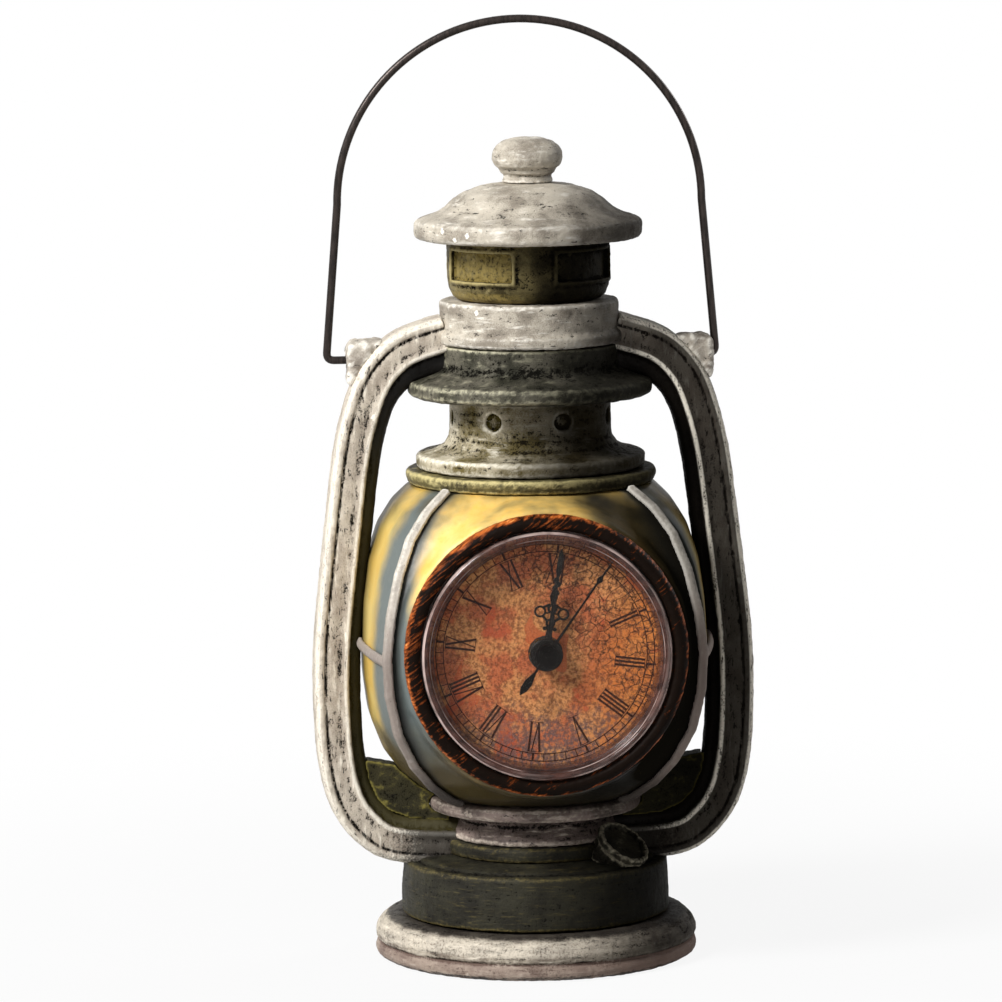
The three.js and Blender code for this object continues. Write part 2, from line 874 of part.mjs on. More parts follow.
// An ear stands on the tube's shoulder
function makeEar() {
  const inner = earOut - ear.width;
  const corner = ear.corner;
  const outline = new THREE.Shape();
  outline.moveTo(inner, earLow);
  outline.lineTo(earOut - corner, earLow + corner);
  outline.quadraticCurveTo(earOut, earLow + corner, earOut, earLow + 2 * corner);
  outline.lineTo(earOut, earHigh - corner);
  outline.quadraticCurveTo(earOut, earHigh, earOut - corner, earHigh);
  outline.lineTo(inner + corner, earHigh);
  outline.quadraticCurveTo(inner, earHigh, inner, earHigh - corner);
  const block = drawnOut(outline, -ear.halfDepth, ear.halfDepth, 2).rotateX(quarterTurn);
  return cut(block, tubeForm(seatGap), turned(grown(hoodProfile(), seatGap)), pinHole());
}

// Bail: stations from the end of one pin over the arch to the end of the other
function bailStations() {
  const lean = (bail.legSpread * bail.bendRadius) / bail.legHeight;
  const bendTop = [bailFoot - lean, pivotHeight + bail.bendRadius];
  const bend = curved([bailFoot - bail.bendRadius, pivotHeight], [bailFoot, pivotHeight], bendTop, bendSteps);
  const arch = Array.from({ length: archSteps + 1 }, (_, i) => {
    const angle = (Math.PI * i) / archSteps;
    return [archRadius * Math.cos(angle), archHeight + archRadius * Math.sin(angle)];
  });
  const right = [[bailFoot - bail.pinLength, pivotHeight], ...bend];
  const left = right.map(([x, z]) => [-x, z]).reverse();
  return [...right, ...arch, ...left].map(([x, z]) => new THREE.Vector3(x - bail.sidePlay, 0, z));
}

function makeBail() {
  return swept(roundShape(bail.wireRadius, holeSides), bailStations());
}

// Filler neck and cap, tilted out of the shoulder
function tilted(geometry) {
  const azimuth = THREE.MathUtils.degToRad(filler.azimuthDeg);
  const tilt = THREE.MathUtils.degToRad(filler.tiltDeg);
  const reach = tankRadius - tank.taper - filler.inset;
  const x = reach * Math.sin(azimuth);
  const y = -reach * Math.cos(azimuth);
  return geometry.rotateX(tilt).rotateZ(azimuth).translate(x, y, tankTop + filler.rise);
}

function makeFillerCap() {
  const low = -filler.capThickness;
  const dish = filler.radius - filler.dishInset;
  const edge = filler.dishInset / 4;
  return tilted(
    turned(
      [
        [0, low],
        [filler.radius - edge, low],
        [filler.radius, low + edge],
        [filler.radius, -edge],
        [filler.radius - edge, 0],
        [dish + edge, 0],
        [dish - edge, -filler.dishDepth],
        [0, -filler.dishDepth],
      ],
      smallSides,
    ),
  );
}

function makeFillerNeck() {
  const top = -filler.capThickness - seatGap;
  const neck = tilted(bar(filler.radius - filler.neckInset, top - filler.neckLength, top, smallSides));
  return cut(
    neck,
    turned(grown(tankProfile(), seatGap)),
    turned(grown(collarProfile(), seatGap)),
    turned(grown(cupProfile(), seatGap)),
  );
}

// Clock, in its own frame: x to the viewer's right, y up, z forward of the lantern's centre line
const plateFront = dialFace - dial.thickness - glueGap;
const plateBack = plateFront - plate.thickness;
const caseFront = plateBack - seatGap;
const wallInside = caseFront - movement.front;

// A place behind the movement's front wall
function behind(depth) {
  return wallInside - depth;
}

// Bezel, lens, dial and the plate that carries them
function makeBezel() {
  const back = bossFront + seatGap;
  const edge = bezel.edge;
  const rim = bezelRadius - edge;
  return turned([
    [bezelBore, plateFront + seatGap],
    [plateRadius, plateFront + seatGap],
    [plateRadius, back],
    [bezelRadius, back],
    ...curved([bezelRadius, bezelFront - edge], [bezelRadius, bezelFront], [rim, bezelFront], 2),
    [bezelBore + edge / 2, bezelFront],
    [bezelBore, bezelFront - edge / 2],
    [bezelBore, plateFront + seatGap],
  ]);
}

function makeLens() {
  const back = plateFront + seatGap;
  const inside = lensFront - lens.thickness;
  return turned([
    [0, inside],
    [lensRadius - lens.frame, inside],
    [lensRadius - lens.rim, back],
    [lensRadius, back],
    [lensRadius, lensFront - lens.chamfer],
    [lensRadius - lens.chamfer, lensFront],
    [0, lensFront],
  ]);
}

function makeDial() {
  const back = plateFront + glueGap;
  const paper = drawnOut(roundShape(dialRadius, roundSides), back, dialFace);
  return cut(paper, bar(washerRadius + seatGap, back - overrun, dialFace + overrun));
}

function makePlate() {
  const disc = drawnOut(roundShape(plateRadius, roundSides), plateBack, plateFront);
  return cut(disc, bar(bushRadius + seatGap, plateBack - overrun, plateFront + overrun));
}

// A rubber washer and the nut that clamp the movement to the plate
function makeWasher() {
  const low = plateFront + glueGap;
  const high = low + nut.washerThickness;
  return cut(bar(washerRadius, low, high), bar(bushRadius + glueGap, low - overrun, high + overrun));
}

function makeNut() {
  const low = plateFront + 2 * glueGap + nut.washerThickness;
  const high = low + nut.thickness;
  const corner = (bushRadius + nut.wall) / Math.cos(fullTurn / 12);
  const hexagon = drawnOut(roundShape(corner, 6), low, high);
  return cut(hexagon, bar(bushRadius + glueGap, low - overrun, high + overrun));
}

// Train layout: teeth, modules and where each arbor stands
const teeth = {
  rotor: 6,
  intermediate: 30,
  intermediatePinion: 6,
  second: 36,
  secondPinion: 6,
  third: 45,
  thirdPinion: 6,
  centre: 48,
  cannon: 10,
  minute: 30,
  minutePinion: 8,
  hour: 32,
  setting: 10,
};
const modules = { motor: 0.4, sweep: 0.49, third: 0.4, motion: 0.6 };
const minuteWheelAngle = quarterTurn;
const settingAngle = quarterTurn / 3;
const thirdAngle = quarterTurn * 0.4;
const motorAngle = 2 * quarterTurn;

function meshDistance(driver, driven, module) {
  return ((driver + driven) * module) / 2;
}

function placedFrom(from, distance, angle) {
  return { x: from.x + distance * Math.cos(angle), y: from.y + distance * Math.sin(angle) };
}

const motionDistance = meshDistance(teeth.cannon, teeth.minute, modules.motion);
const thirdDistance = meshDistance(teeth.secondPinion, teeth.third, modules.third);
const secondDistance = meshDistance(teeth.intermediatePinion, teeth.second, modules.sweep);
const motorDistance = meshDistance(teeth.rotor, teeth.intermediate, modules.motor);
const hourModule = (2 * motionDistance) / (teeth.minutePinion + teeth.hour);
const centreModule = (2 * thirdDistance) / (teeth.thirdPinion + teeth.centre);
const centreAt = { x: 0, y: 0 };
const minuteWheelAt = placedFrom(centreAt, motionDistance, minuteWheelAngle);
const settingAt = placedFrom(minuteWheelAt, motionDistance, settingAngle);
const thirdAt = placedFrom(centreAt, thirdDistance, thirdAngle);
const intermediateAt = placedFrom(centreAt, secondDistance, motorAngle);
const rotorAt = placedFrom(intermediateAt, motorDistance, motorAngle);

// How far each piece's two faces lie behind the movement's front wall
const depths = {
  hourWheel: [0.3, 1.1],
  minutePinion: [0.3, 1.4],
  minuteWheel: [1.4, 2.1],
  cannon: [1.4, 2.2],
  settingPinion: [1.3, 2.2],
  middlePlate: [2.6, 3.4],
  centreWheel: [3.7, 4.5],
  thirdPinion: [3.7, 4.8],
  minutePipeEnd: 5.1,
  thirdWheel: [5.6, 6.4],
  sweepPinion: [5.4, 7.1],
  sweepWheel: [7.1, 7.9],
  intermediatePinion: [6.9, 9.3],
  intermediateWheel: [9.3, 10.1],
  rotorPinion: [9.1, 10.3],
  magnet: [5.6, 8],
  stator: [6.4, 7.2],
  board: [10.9, 11.9],
  coilAxis: 7.1,
  pivots: [2.9, 13.2],
  cover: 12.5,
};
const caseBack = behind(depths.cover + movement.coverThickness);
const throughCase = [-overrun, depths.cover + movement.coverThickness + overrun];

// A tooth's corners: shares of the module out from the pitch circle, and shares of the pitch angle
const toothShares = [
  [-1, -0.5],
  [0.8, 0],
];

// A gear's outline, with the first tooth's middle at the given angle
function gearShape(count, module, angle) {
  const pitch = (count * module) / 2;
  const step = fullTurn / count;
  const points = Array.from({ length: count }, (_, i) =>
    toothShares.map(([outShare, turnShare]) => {
      const radius = pitch + outShare * module;
      const turn = angle + (i + turnShare) * step;
      return new THREE.Vector2(radius * Math.cos(turn), radius * Math.sin(turn));
    }),
  );
  return new THREE.Shape(points.flat());
}

function makeGear(count, module, angle, [front, back], at) {
  return drawnOut(gearShape(count, module, angle), behind(back), behind(front)).translate(at.x, at.y, 0);
}

function pinAt(radius, [front, back], at, sides = smallSides) {
  return bar(radius, behind(back), behind(front), sides).translate(at.x, at.y, 0);
}

// The angle of a driven gear's first tooth that puts a gap of it against a tooth of its driver
function meshed(driverTeeth, driverAngle, driverAt, drivenTeeth, drivenAt) {
  const line = Math.atan2(drivenAt.y - driverAt.y, drivenAt.x - driverAt.x);
  const driverPhase = ((line - driverAngle) * driverTeeth) / fullTurn;
  return line + fullTurn / 2 - ((1 / 2 - driverPhase) * fullTurn) / drivenTeeth;
}

const cannonAngle = 0;
const minuteAngle = meshed(teeth.cannon, cannonAngle, centreAt, teeth.minute, minuteWheelAt);
const hourAngle = meshed(teeth.minutePinion, 0, minuteWheelAt, teeth.hour, centreAt);
const settingPinionAngle = meshed(teeth.minute, minuteAngle, minuteWheelAt, teeth.setting, settingAt);
const thirdWheelAngle = meshed(teeth.secondPinion, 0, centreAt, teeth.third, thirdAt);
const centreWheelAngle = meshed(teeth.thirdPinion, 0, thirdAt, teeth.centre, centreAt);
const secondPinionAngle = 0;
const intermediatePinionAngle = meshed(teeth.second, 0, centreAt, teeth.intermediatePinion, intermediateAt);
const rotorAngle = meshed(teeth.intermediate, 0, intermediateAt, teeth.rotor, rotorAt);

// Motion work: the hour wheel on its pipe, the minute pipe with its pinion, and the minute wheel
const hands = {
  hourHub: [2.4, 3.2],
  hourBlade: [2.6, 3],
  hourPipe: 3.3,
  minuteHub: [3.8, 4.7],
  minuteBlade: [4.1, 4.5],
  minutePipe: 4.8,
  sweepHub: [5.3, 6.8],
  sweepBlade: [5.7, 6],
  sweepArbor: 6.1,
  hourHubRadius: 4.2,
  minuteHubRadius: 4.9,
  sweepHubRadius: 3.2,
};
const reachShares = { hour: 0.64, minute: 0.91, second: 0.97, secondTail: 0.4 };

function makeHourWheel() {
  const wheel = makeGear(teeth.hour, hourModule, hourAngle, depths.hourWheel, centreAt);
  const back = behind(depths.hourWheel[1]);
  const front = dialFace + hands.hourPipe;
  return cut(join(wheel, bar(hourOuter, back, front)), bar(hourBore, back - overrun, front + overrun));
}

function makeMinutePipe() {
  const back = behind(depths.minutePipeEnd);
  const front = dialFace + hands.minutePipe;
  const pinion = makeGear(teeth.cannon, modules.motion, cannonAngle, depths.cannon, centreAt);
  const pipe = bar(minuteOuter, back, front);
  return cut(join(pinion, pipe), bar(minuteBore, back - overrun, front + overrun, holeSides));
}

function makeMinuteWheel() {
  const at = minuteWheelAt;
  const wheel = makeGear(teeth.minute, modules.motion, minuteAngle, depths.minuteWheel, at);
  const pinion = makeGear(teeth.minutePinion, hourModule, 0, depths.minutePinion, at);
  return cut(join(wheel, pinion), pinAt(movement.postRadius + seatGap, throughCase, at, holeSides));
}

const settingKnob = { height: 3.4, stem: 1.5, flutes: 16, fluteModule: 0.7 };

function makeSettingKnob() {
  const at = settingAt;
  const angle = settingPinionAngle;
  const pinion = makeGear(teeth.setting, modules.motion, angle, depths.settingPinion, at);
  const knobFront = caseBack - seatGap;
  const fluted = gearShape(settingKnob.flutes, settingKnob.fluteModule, 0);
  const grip = drawnOut(fluted, knobFront - settingKnob.height, knobFront);
  const stem = bar(settingKnob.stem, knobFront - overrun, behind(depths.settingPinion[1]), holeSides);
  return join(pinion, stem.translate(at.x, at.y, 0), grip.translate(at.x, at.y, 0));
}

// Going train: rotor, intermediate wheel, second wheel, third wheel and centre wheel
function makeRotor() {
  const pinion = makeGear(teeth.rotor, modules.motor, rotorAngle, depths.rotorPinion, rotorAt);
  const magnet = pinAt(motor.magnetRadius, depths.magnet, rotorAt, smallSides);
  return join(pinion, magnet, pinAt(arbor.radius, depths.pivots, rotorAt, holeSides));
}

function makeIntermediate() {
  const at = intermediateAt;
  const wheel = makeGear(teeth.intermediate, modules.motor, 0, depths.intermediateWheel, at);
  const angle = intermediatePinionAngle;
  const pinion = makeGear(teeth.intermediatePinion, modules.sweep, angle, depths.intermediatePinion, at);
  return join(wheel, pinion, pinAt(arbor.radius, depths.pivots, at, holeSides));
}

function makeSecondWheel() {
  const wheel = makeGear(teeth.second, modules.sweep, 0, depths.sweepWheel, centreAt);
  const pinion = makeGear(teeth.secondPinion, modules.third, secondPinionAngle, depths.sweepPinion, centreAt);
  const shaft = bar(pipes.core, behind(depths.pivots[1]), dialFace + hands.sweepArbor, holeSides);
  return join(wheel, pinion, shaft);
}

function makeThirdWheel() {
  const wheel = makeGear(teeth.third, modules.third, thirdWheelAngle, depths.thirdWheel, thirdAt);
  const pinion = makeGear(teeth.thirdPinion, centreModule, 0, depths.thirdPinion, thirdAt);
  return join(wheel, pinion, pinAt(arbor.radius, depths.pivots, thirdAt, holeSides));
}

function makeCentreWheel() {
  const wheel = makeGear(teeth.centre, centreModule, centreWheelAngle, depths.centreWheel, centreAt);
  return cut(wheel, pinAt(minuteOuter + seatGap, throughCase, centreAt));
}

// Stepping motor: coil across the top of the stator, which wraps the rotor's magnet
const motor = {
  magnetRadius: 3,
  magnetGap: 0.5,
  statorLow: -5.5,
  statorHigh: 9,
  statorRight: 5,
  tabTop: 19,
  tabWidth: 2.6,
  tabRight: -6.6,
  coilRadius: 3.2,
  coilHeight: 14.5,
};
const statorLeft = -chamberHalf + seatGap;

function makeStator() {
  const right = rotorAt.x + motor.statorRight;
  const shape = new THREE.Shape();
  shape.moveTo(statorLeft, motor.statorLow);
  shape.lineTo(right, motor.statorLow);
  shape.lineTo(right, motor.statorHigh - motor.tabWidth);
  shape.lineTo(motor.tabRight, motor.statorHigh - motor.tabWidth);
  shape.lineTo(motor.tabRight, motor.tabTop);
  shape.lineTo(motor.tabRight - motor.tabWidth, motor.tabTop);
  shape.lineTo(motor.tabRight - motor.tabWidth, motor.statorHigh);
  shape.lineTo(statorLeft + motor.tabWidth, motor.statorHigh);
  shape.lineTo(statorLeft + motor.tabWidth, motor.tabTop);
  shape.lineTo(statorLeft, motor.tabTop);
  const [front, back] = depths.stator;
  const blank = drawnOut(shape, behind(back), behind(front));
  return cut(blank, pinAt(motor.magnetRadius + motor.magnetGap, throughCase, rotorAt));
}

function makeCoil() {
  const left = statorLeft + motor.tabWidth + seatGap;
  const right = motor.tabRight - motor.tabWidth - seatGap;
  const winding = bar(motor.coilRadius, left, right);
  return winding.rotateY(quarterTurn).translate(0, motor.coilHeight, behind(depths.coilAxis));
}

const board = { width: 21, height: 8, corner: 1 };

function makeBoard() {
  const [front, back] = depths.board;
  const right = chamberHalf + movement.wall - movement.corner;
  const low = chamberLow + movement.wall;
  const x = right - board.width / 2;
  const y = low + board.height / 2;
  const outline = roundedRectangle(board.width, board.height, board.corner, x, y);
  return drawnOut(outline, behind(back), behind(front), 1);
}

// Middle plate between the motion work and the train
function makeMiddlePlate() {
  const [front, back] = depths.middlePlate;
  const pivots = [thirdAt, intermediateAt, rotorAt];
  return cut(
    chamberBlank(seatGap, behind(back), behind(front)),
    pinAt(minuteOuter + seatGap, throughCase, centreAt),
    pinAt(settingKnob.stem + seatGap, throughCase, settingAt, holeSides),
    ...pivots.map((at) => pinAt(pivotHole, throughCase, at, holeSides)),
  );
}

// A block with rounded corners between two sides, a floor and a top of the movement
function movementBlock(half, floor, top, corner, low, high, steps) {
  const outline = roundedRectangle(2 * half, top - floor, corner, 0, (top + floor) / 2);
  return drawnOut(outline, low, high, steps);
}

// A block that fills the gear chamber but for a gap all round
function chamberBlank(gap, low, high) {
  const corner = movement.corner - movement.wall;
  return movementBlock(chamberHalf - gap, chamberLow + gap, chamberHalf - gap, corner, low, high, 2);
}

// Movement case: gear chamber, battery bay and the threaded bush
function makeCase() {
  const shell = movementBlock(caseHalf, caseLow, caseHalf, movement.corner, caseBack, caseFront, 2);
  const chamber = chamberBlank(0, caseBack - overrun, wallInside);
  const bay = movementBlock(chamberHalf, bayLow, bayTop, movement.wall, caseBack - overrun, wallInside, 1);
  const bushFront = dialFace + movement.bushReach;
  const bush = bar(bushRadius, caseFront - movement.front / 2, bushFront);
  const postDepths = [-movement.front / 2, depths.middlePlate[0] - seatGap];
  const post = pinAt(movement.postRadius, postDepths, minuteWheelAt, holeSides);
  return cut(join(cut(shell, chamber, bay), bush, post), bar(bushBore, caseBack, bushFront + overrun));
}

// Cover over the gear chamber, pierced for the setting stem and the pivots
function makeCover() {
  const pivots = [centreAt, thirdAt, intermediateAt, rotorAt];
  return cut(
    chamberBlank(seatGap, caseBack, caseBack + movement.coverThickness),
    pinAt(settingKnob.stem + seatGap, throughCase, settingAt, holeSides),
    ...pivots.map((at) => pinAt(pivotHole + glueGap, throughCase, at, holeSides)),
  );
}

// Battery across the bay, with a contact at each end
const batteryAt = { y: (bayTop + bayLow) / 2, z: wallInside - seatGap - battery.radius };

function makeBattery() {
  const half = battery.length / 2;
  const can = bar(battery.radius, -half, half - battery.nubLength, midSides);
  const nub = bar(battery.nubRadius, half - battery.nubLength, half);
  return join(can, nub).rotateY(quarterTurn).translate(0, batteryAt.y, batteryAt.z);
}

function makeContact(side) {
  const outside = chamberHalf - seatGap;
  const strip = roundedRectangle(contact.width, contact.height, contact.thickness);
  const spring = drawnOut(strip, outside - contact.thickness, outside, 1);
  return spring.rotateY(side * quarterTurn).translate(0, batteryAt.y, batteryAt.z);
}

// A flat hand's outline from rows of shares: how far along its length, and its half width in units of
// its widest half. It runs up one side and down the other.
function handOutline(rows, length, widest) {
  const right = rows.map(([along, across]) => new THREE.Vector2(widest * across, length * along));
  const left = rows.map(([along, across]) => new THREE.Vector2(-widest * across, length * along)).reverse();
  return new THREE.Shape([...right, ...left]);
}

const hourShares = [
  [0.12, 0.45],
  [0.36, 0.4],
  [0.44, 1],
  [0.52, 0.5],
  [0.62, 0.9],
  [0.72, 0.45],
  [0.8, 0.6],
  [1, 0.12],
];
const minuteShares = [
  [0.1, 0.6],
  [0.26, 0.5],
  [0.31, 1],
  [0.37, 0.5],
  [0.44, 0.9],
  [0.52, 0.45],
  [0.62, 0.7],
  [0.72, 0.4],
  [0.84, 0.6],
  [1, 0.12],
];
const secondShares = [
  [-1, 0.1],
  [-0.86, 0.9],
  [-0.68, 1],
  [-0.44, 0.28],
  [0, 0.36],
  [0.76, 0.2],
  [0.8, 0.75],
  [0.85, 0.2],
  [1, 0.14],
];
const handWidths = { hour: 1.7, minute: 1.35, sweep: 1.25 };
const hourReach = reachShares.hour * dialRadius;
const minuteReach = reachShares.minute * dialRadius;
const loops = { radius: 2.1, bar: 0.75, reach: 2.7, levelShare: 0.5 };

function handBlade(outline, [low, high]) {
  return drawnOut(outline, dialFace + low, dialFace + high);
}

function handHub(radius, [low, high], sides = midSides) {
  return bar(radius, dialFace + low, dialFace + high, sides);
}

// Side loops of the hour hand
function handLoop(side) {
  const ring = roundShape(loops.radius, holeSides);
  ring.holes.push(roundShape(loops.radius - loops.bar, holeSides));
  const level = hourReach * loops.levelShare;
  return handBlade(ring, hands.hourBlade).translate(side * loops.reach, level, 0);
}

// The hole through a hand's hub, for the pipe that carries it
function handBore(radius, [low, high], sides) {
  return handHub(radius + glueGap, [low - overrun, high + overrun], sides);
}

function makeHourHand() {
  const blade = handBlade(handOutline(hourShares, hourReach, handWidths.hour), hands.hourBlade);
  const hub = handHub(hands.hourHubRadius, hands.hourHub);
  const bore = handBore(hourOuter, hands.hourHub, smallSides);
  return cut(join(blade, handLoop(1), handLoop(-1), hub), bore);
}

function makeMinuteHand() {
  const blade = handBlade(handOutline(minuteShares, minuteReach, handWidths.minute), hands.minuteBlade);
  const hub = handHub(hands.minuteHubRadius, hands.minuteHub);
  const bore = handBore(minuteOuter, hands.minuteHub, smallSides);
  return cut(join(blade, hub), bore);
}

function makeSecondHand() {
  const rows = secondShares.map(([along, across]) => {
    const reachShare = along < 0 ? reachShares.secondTail : reachShares.second;
    return [along * reachShare, across];
  });
  const blade = handBlade(handOutline(rows, dialRadius, handWidths.sweep), hands.sweepBlade);
  const hub = handHub(hands.sweepHubRadius, hands.sweepHub);
  const [hubLow] = hands.sweepHub;
  const bore = handHub(pipes.core + glueGap, [hubLow - overrun, hands.sweepArbor + glueGap], holeSides);
  return cut(join(blade, hub), bore);
}

// Finishes
function finish(color, roughness, metalness) {
  return new THREE.MeshStandardMaterial({ color, roughness, metalness });
}
const silver = finish(0xb3a799, 0.55, 0.35);
const ironBlack = finish(0x262a24, 0.75, 0.1);
const olive = finish(0x8d8340, 0.6, 0.15);
const paneYellow = finish(0xbfa84f, 0.45, 0.1);
const wire = finish(0x2b2622, 0.35, 0.8);
const copper = finish(0xa85a1e, 0.5, 0.4);
const clearPlastic = finish(0xd8c0b8, 0.1, 0);
const paper = finish(0xb98a6a, 0.8, 0);
const handBlack = finish(0x14100f, 0.4, 0.3);
const blackPlastic = finish(0x1d1d1f, 0.5, 0);
const whitePlastic = finish(0xe6e2d8, 0.5, 0);
const brass = finish(0xc79b45, 0.35, 0.9);
const steel = finish(0xb9bcc0, 0.3, 1);
const windingRed = finish(0x8a3b1c, 0.4, 0.4);
const boardGreen = finish(0x2f6b3c, 0.6, 0);
const batterySleeve = finish(0x3a5f8a, 0.4, 0.3);

// Assembly
const lamp = new THREE.Group();

function place(parent, name, geometry, material) {
  const mesh = new THREE.Mesh(geometry, material);
  mesh.name = name;
  parent.add(mesh);
  return mesh;
}

function placePair(name, geometry, material) {
  place(lamp, `${name}_right`, geometry, material);
  place(lamp, `${name}_left`, geometry, material).scale.x = -1;
}

place(lamp, "foot_ring", makeFoot(), silver);
place(lamp, "fuel_tank", turned(tankProfile()), ironBlack);
place(lamp, "burner_collar", turned(collarProfile()), ironBlack);
place(lamp, "globe_cup", turned(cupProfile()), silver);
place(lamp, "globe_shell", makeGlobe(), paneYellow);
place(lamp, "gallery_ring", makeGallery(), olive);
place(lamp, "chimney_bell", makeBell(), ironBlack);
place(lamp, "hood_flange", turned(flangeProfile()), ironBlack);
place(lamp, "hood_ring", turned(hoodProfile()), silver);
place(lamp, "vent_drum", makeDrum(), ironBlack);
place(lamp, "cap", makeCap(), silver);
place(lamp, "cap_knob", makeKnob(), silver);
place(lamp, "filler_neck", makeFillerNeck(), ironBlack);
place(lamp, "filler_cap", makeFillerCap(), ironBlack);
place(lamp, "bail", makeBail(), wire);

placePair("tube", makeTube(), silver);
placePair("tube_web", makeWeb(), olive);
placePair("ear", makeEar(), silver);

const ribGeometry = makeRib();
for (const [side, across] of [["right", 1], ["left", -1]]) {
  place(lamp, `guard_rib_front_${side}`, ribGeometry, silver).scale.x = across;
  place(lamp, `guard_rib_rear_${side}`, ribGeometry, silver).scale.set(across, -1, 1);
}

// The clock stands in a group that faces forward, and its dial and hands are turned in it
const clockFrame = new THREE.Group();
clockFrame.position.z = clockHeight;
clockFrame.rotation.x = quarterTurn;
lamp.add(clockFrame);

const dialFrame = new THREE.Group();
dialFrame.rotation.z = THREE.MathUtils.degToRad(dial.turnDeg);
clockFrame.add(dialFrame);

place(clockFrame, "bezel_ring", makeBezel(), copper);
place(clockFrame, "lens", makeLens(), clearPlastic);
place(dialFrame, "dial", makeDial(), paper);
place(clockFrame, "dial_plate", makePlate(), blackPlastic);
place(clockFrame, "dial_washer", makeWasher(), blackPlastic);
place(clockFrame, "dial_nut", makeNut(), brass);
place(clockFrame, "movement_case", makeCase(), blackPlastic);
place(clockFrame, "movement_cover", makeCover(), blackPlastic);
place(clockFrame, "middle_plate", makeMiddlePlate(), whitePlastic);
place(clockFrame, "stator", makeStator(), steel);
place(clockFrame, "coil", makeCoil(), windingRed);
place(clockFrame, "circuit_board", makeBoard(), boardGreen);
place(clockFrame, "battery", makeBattery(), batterySleeve);
place(clockFrame, "battery_contact_positive", makeContact(1), steel);
place(clockFrame, "battery_contact_negative", makeContact(-1), steel);
place(clockFrame, "rotor", makeRotor(), whitePlastic);
place(clockFrame, "intermediate_wheel", makeIntermediate(), whitePlastic);
place(clockFrame, "second_wheel", makeSecondWheel(), whitePlastic);
place(clockFrame, "third_wheel", makeThirdWheel(), whitePlastic);
place(clockFrame, "centre_wheel", makeCentreWheel(), whitePlastic);
place(clockFrame, "minute_pipe", makeMinutePipe(), brass);
place(clockFrame, "minute_wheel", makeMinuteWheel(), whitePlastic);
place(clockFrame, "hour_wheel", makeHourWheel(), whitePlastic);
place(clockFrame, "setting_knob", makeSettingKnob(), blackPlastic);

// Hands at twelve, as shown, with the second hand just past the one
const shownAt = { hourDeg: -8.3, minuteDeg: -8.9, secondDeg: -35.5 };
const hourHand = place(clockFrame, "hour_hand", makeHourHand(), handBlack);
const minuteHand = place(clockFrame, "minute_hand", makeMinuteHand(), handBlack);
const secondHand = place(clockFrame, "second_hand", makeSecondHand(), handBlack);
hourHand.rotation.z = THREE.MathUtils.degToRad(shownAt.hourDeg);
minuteHand.rotation.z = THREE.MathUtils.degToRad(shownAt.minuteDeg);
secondHand.rotation.z = THREE.MathUtils.degToRad(shownAt.secondDeg);

export default lamp;
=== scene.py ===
"""Oil lamp table clock: its painted castings, wire bail and clock face, dressed over the fixed frame."""
import json
import logging
import math
from dataclasses import dataclass
from enum import Enum
from functools import partialmethod
from typing import Sequence

import bpy
from mathutils import Euler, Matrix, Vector
from mathutils.kdtree import KDTree

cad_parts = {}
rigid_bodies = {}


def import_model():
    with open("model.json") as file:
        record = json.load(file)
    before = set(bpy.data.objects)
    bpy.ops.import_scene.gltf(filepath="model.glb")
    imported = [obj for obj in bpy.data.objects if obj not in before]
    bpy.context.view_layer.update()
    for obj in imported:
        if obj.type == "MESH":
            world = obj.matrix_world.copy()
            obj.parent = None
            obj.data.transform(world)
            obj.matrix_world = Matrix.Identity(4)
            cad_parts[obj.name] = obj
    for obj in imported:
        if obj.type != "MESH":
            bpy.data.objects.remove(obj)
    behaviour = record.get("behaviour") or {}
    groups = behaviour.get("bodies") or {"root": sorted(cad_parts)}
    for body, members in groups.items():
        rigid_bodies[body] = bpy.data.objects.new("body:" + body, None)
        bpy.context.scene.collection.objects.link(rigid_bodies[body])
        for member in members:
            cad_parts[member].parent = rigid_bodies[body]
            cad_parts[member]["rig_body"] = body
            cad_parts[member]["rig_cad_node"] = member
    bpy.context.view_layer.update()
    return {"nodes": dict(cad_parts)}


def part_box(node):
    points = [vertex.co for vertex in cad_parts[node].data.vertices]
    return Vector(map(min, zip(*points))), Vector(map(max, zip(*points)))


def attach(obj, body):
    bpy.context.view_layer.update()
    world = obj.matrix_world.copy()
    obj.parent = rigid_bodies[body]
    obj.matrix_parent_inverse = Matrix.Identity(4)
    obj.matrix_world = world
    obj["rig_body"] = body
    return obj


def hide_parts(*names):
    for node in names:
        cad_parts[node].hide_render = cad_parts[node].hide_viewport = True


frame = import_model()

MM = 0.001
CLOCK_HEIGHT = 98.4
DIAL_FACE = 45.9
BAIL_PIVOT = 181.4
ROUND = 160  # faces round the large rings
WELD = MM / 500  # how near two points lie that are one

Pair = tuple[float, float]
Triple = tuple[float, float, float]
Colour = tuple[float, float, float, float]
Piece = bpy.types.Object
Socket = bpy.types.NodeSocket

log = logging.getLogger("lantern")


class Body(Enum):
    """The moving bodies that new pieces ride on."""

    LANTERN = "lantern"
    BAIL = "bail"
    HOUR = "hour"
    MINUTE = "minute"


def toward(start: Pair, pull: Pair, end: Pair, steps: int = 6) -> list[Pair]:
    """Points on a curve that leaves start and comes to end, drawn to a third point."""
    shares = [i / steps for i in range(steps + 1)]
    weights = [((1 - t) ** 2, 2 * t * (1 - t), t * t) for t in shares]
    return [tuple(sum(w * p[k] for w, p in zip(row, (start, pull, end))) for k in (0, 1)) for row in weights]


